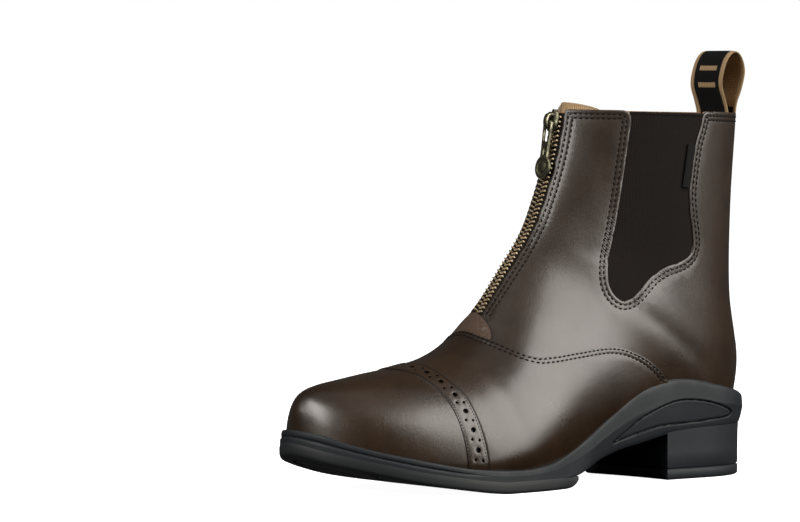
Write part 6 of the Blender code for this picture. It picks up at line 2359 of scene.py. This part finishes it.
@dataclass(frozen=True)
class Studio:
    """Floor, lights and camera.

    Attributes:
        camera_at: The camera's place in the boot's own measures.
        azimuth: Direction that it looks from, round the boot.
        elevation: Its height above level, in degrees.
        lens: Its lens in millimetres on a 36 mm sensor.
    """

    camera_at: tuple[float, float, float] = (1949.32, -1535.66, 210.28)
    azimuth: float = 53.127
    elevation: float = 2.242
    lens: float = 220.5
    floor_size: float = 30.0
    sky_power: float = 0.2
    sky_angle: float = 60.0
    room: float = 0.05
    floor_glow: float = 0.97
    # The dark floor under the boot: its sides, its ends and its height.
    shade_sides: tuple[float, float] = (-150.0, 150.0)
    shade_ends: tuple[float, float] = (-40.0, 400.0)
    shade_z: float = -2.0
    # Columns: name, azimuth, elevation and roll in degrees, distance, width and height, power in watts.
    boxes: tuple = (
        ("right_box", 122.0, 31.0, 16.0, 1.8, (1.75, 2.1), 63.0),
        ("toe_box", 2.0, 29.0, 0.0, 1.6, (0.85, 0.85), 20.0),
        ("low_box", 10.0, -1.0, 0.0, 1.8, (1.2, 0.2), 1.2),
    )
    tint: tuple[float, float, float] = (1.0, 0.965, 0.91)

    def build(self) -> None:
        """Makes all of it."""
        self.build_camera()
        self.build_floor()
        self.build_lights()

    def build_camera(self) -> None:
        """The camera at the photograph's angle."""
        data = bpy.data.cameras.new("camera")
        data.lens, data.clip_start, data.clip_end = self.lens, 0.1, 100.0
        camera = bpy.data.objects.new("camera", data)
        bpy.context.scene.collection.objects.link(camera)
        back = self._way(self.azimuth, self.elevation)
        camera.rotation_mode = "QUATERNION"
        camera.rotation_quaternion = (-back).to_track_quat("-Z", "Y")
        camera.location = (Vector(self.camera_at) - Vector((0.0, ORIGIN_Y, 0.0))) * MM
        bpy.context.scene.camera = camera

    def build_floor(self) -> None:
        """A wide pale floor for the camera, and a dark one that the boot's own surfaces see."""
        size = self.floor_size / 2
        corners = np.array([(-size, -size, 0), (size, -size, 0), (size, size, 0), (-size, size, 0)]) / MM
        floor = mesh_object("studio_floor", corners + (0.0, ORIGIN_Y, 0.0), [(0, 1, 2, 3)])
        graph = Graph("pale_floor")
        speck = graph.span(graph.noise(graph.place(), 3.0), 0.3, 0.7, (0.0, 1.0))
        colour = graph.mix(speck, (0.92, 0.92, 0.92), (0.95, 0.95, 0.95))
        white = (1.0, 1.0, 1.0)
        floor.data.materials.append(
            graph.finish(
                Base_Color=colour,
                Roughness=0.8,
                Specular_IOR_Level=0.1,
                Emission_Color=white,
                Emission_Strength=self.floor_glow,
            )
        )
        floor.visible_diffuse = floor.visible_glossy = False
        (left, right), (front, rear), depth = self.shade_sides, self.shade_ends, self.shade_z
        plan = ((left, front), (right, front), (right, rear), (left, rear))
        under = np.array([[x, y, depth] for x, y in plan])
        shade = mesh_object("studio_shade", under, [(0, 1, 2, 3)])
        dark = (0.01, 0.01, 0.01)
        shade.data.materials.append(Graph("dark_floor").finish(Base_Color=dark, Roughness=1.0))
        shade.visible_camera = False

    def _way(self, azimuth: float, elevation: float) -> Vector:
        """The direction towards an azimuth, from the toe round by the lateral side, and an elevation."""
        a, e = math.radians(azimuth), math.radians(elevation)
        return Vector((math.sin(a) * math.cos(e), -math.cos(a) * math.cos(e), math.sin(e)))

    def build_lights(self) -> None:
        """Soft boxes, a wide light from above, and a room that is white only to the camera."""
        aim = Vector((0.0, 0.0, 0.1))
        for name, azimuth, elevation, roll, distance, size, power in self.boxes:
            data = bpy.data.lights.new(name, "AREA")
            data.shape, data.size, data.size_y, data.energy = "RECTANGLE", size[0], size[1], power
            data.color = self.tint
            light = bpy.data.objects.new(name, data)
            way = self._way(azimuth, elevation)
            light.location = aim + way * distance
            turn = Quaternion((0.0, 0.0, 1.0), math.radians(roll))
            light.rotation_euler = ((-way).to_track_quat("-Z", "Y") @ turn).to_euler()
            bpy.context.scene.collection.objects.link(light)
        data = bpy.data.lights.new("sky_panel", "SUN")
        data.energy, data.angle = self.sky_power, math.radians(self.sky_angle)
        sky = bpy.data.objects.new("sky_panel", data)
        sky.rotation_euler = (math.radians(8.0), math.radians(10.0), 0.0)
        bpy.context.scene.collection.objects.link(sky)
        world = bpy.data.worlds.new("room")
        world.use_nodes = True
        nodes, links = world.node_tree.nodes, world.node_tree.links
        path, mix = nodes.new("ShaderNodeLightPath"), nodes.new("ShaderNodeMixShader")
        links.new(path.outputs["Is Camera Ray"], mix.inputs[0])
        seen = nodes.new("ShaderNodeBackground")
        for slot, shade, strength in ((1, nodes["Background"], self.room), (2, seen, 1.0)):
            shade.inputs["Color"].default_value = (1.0, 1.0, 1.0, 1.0)
            shade.inputs["Strength"].default_value = strength
            links.new(shade.outputs[0], mix.inputs[slot])
        links.new(mix.outputs[0], nodes["World Output"].inputs["Surface"])
        bpy.context.scene.world = world
        bpy.context.scene.view_settings.view_transform = "Standard"


def corners(box: tuple[Vector, Vector]) -> list[list[float]]:
    """A box's corners as plain lists."""
    return [list(corner) for corner in box]


def main() -> None:
    """Builds the boot and its studio."""
    logging.basicConfig(level=logging.INFO, format="%(message)s")
    boot = Boot()
    Studio().build()
    stitching = Stitching(boot)
    Sole(boot).build()
    Uppers(boot, stitching).build()
    Zip(boot).build()
    Trims(boot).build()


if __name__ == "__main__":
    main()
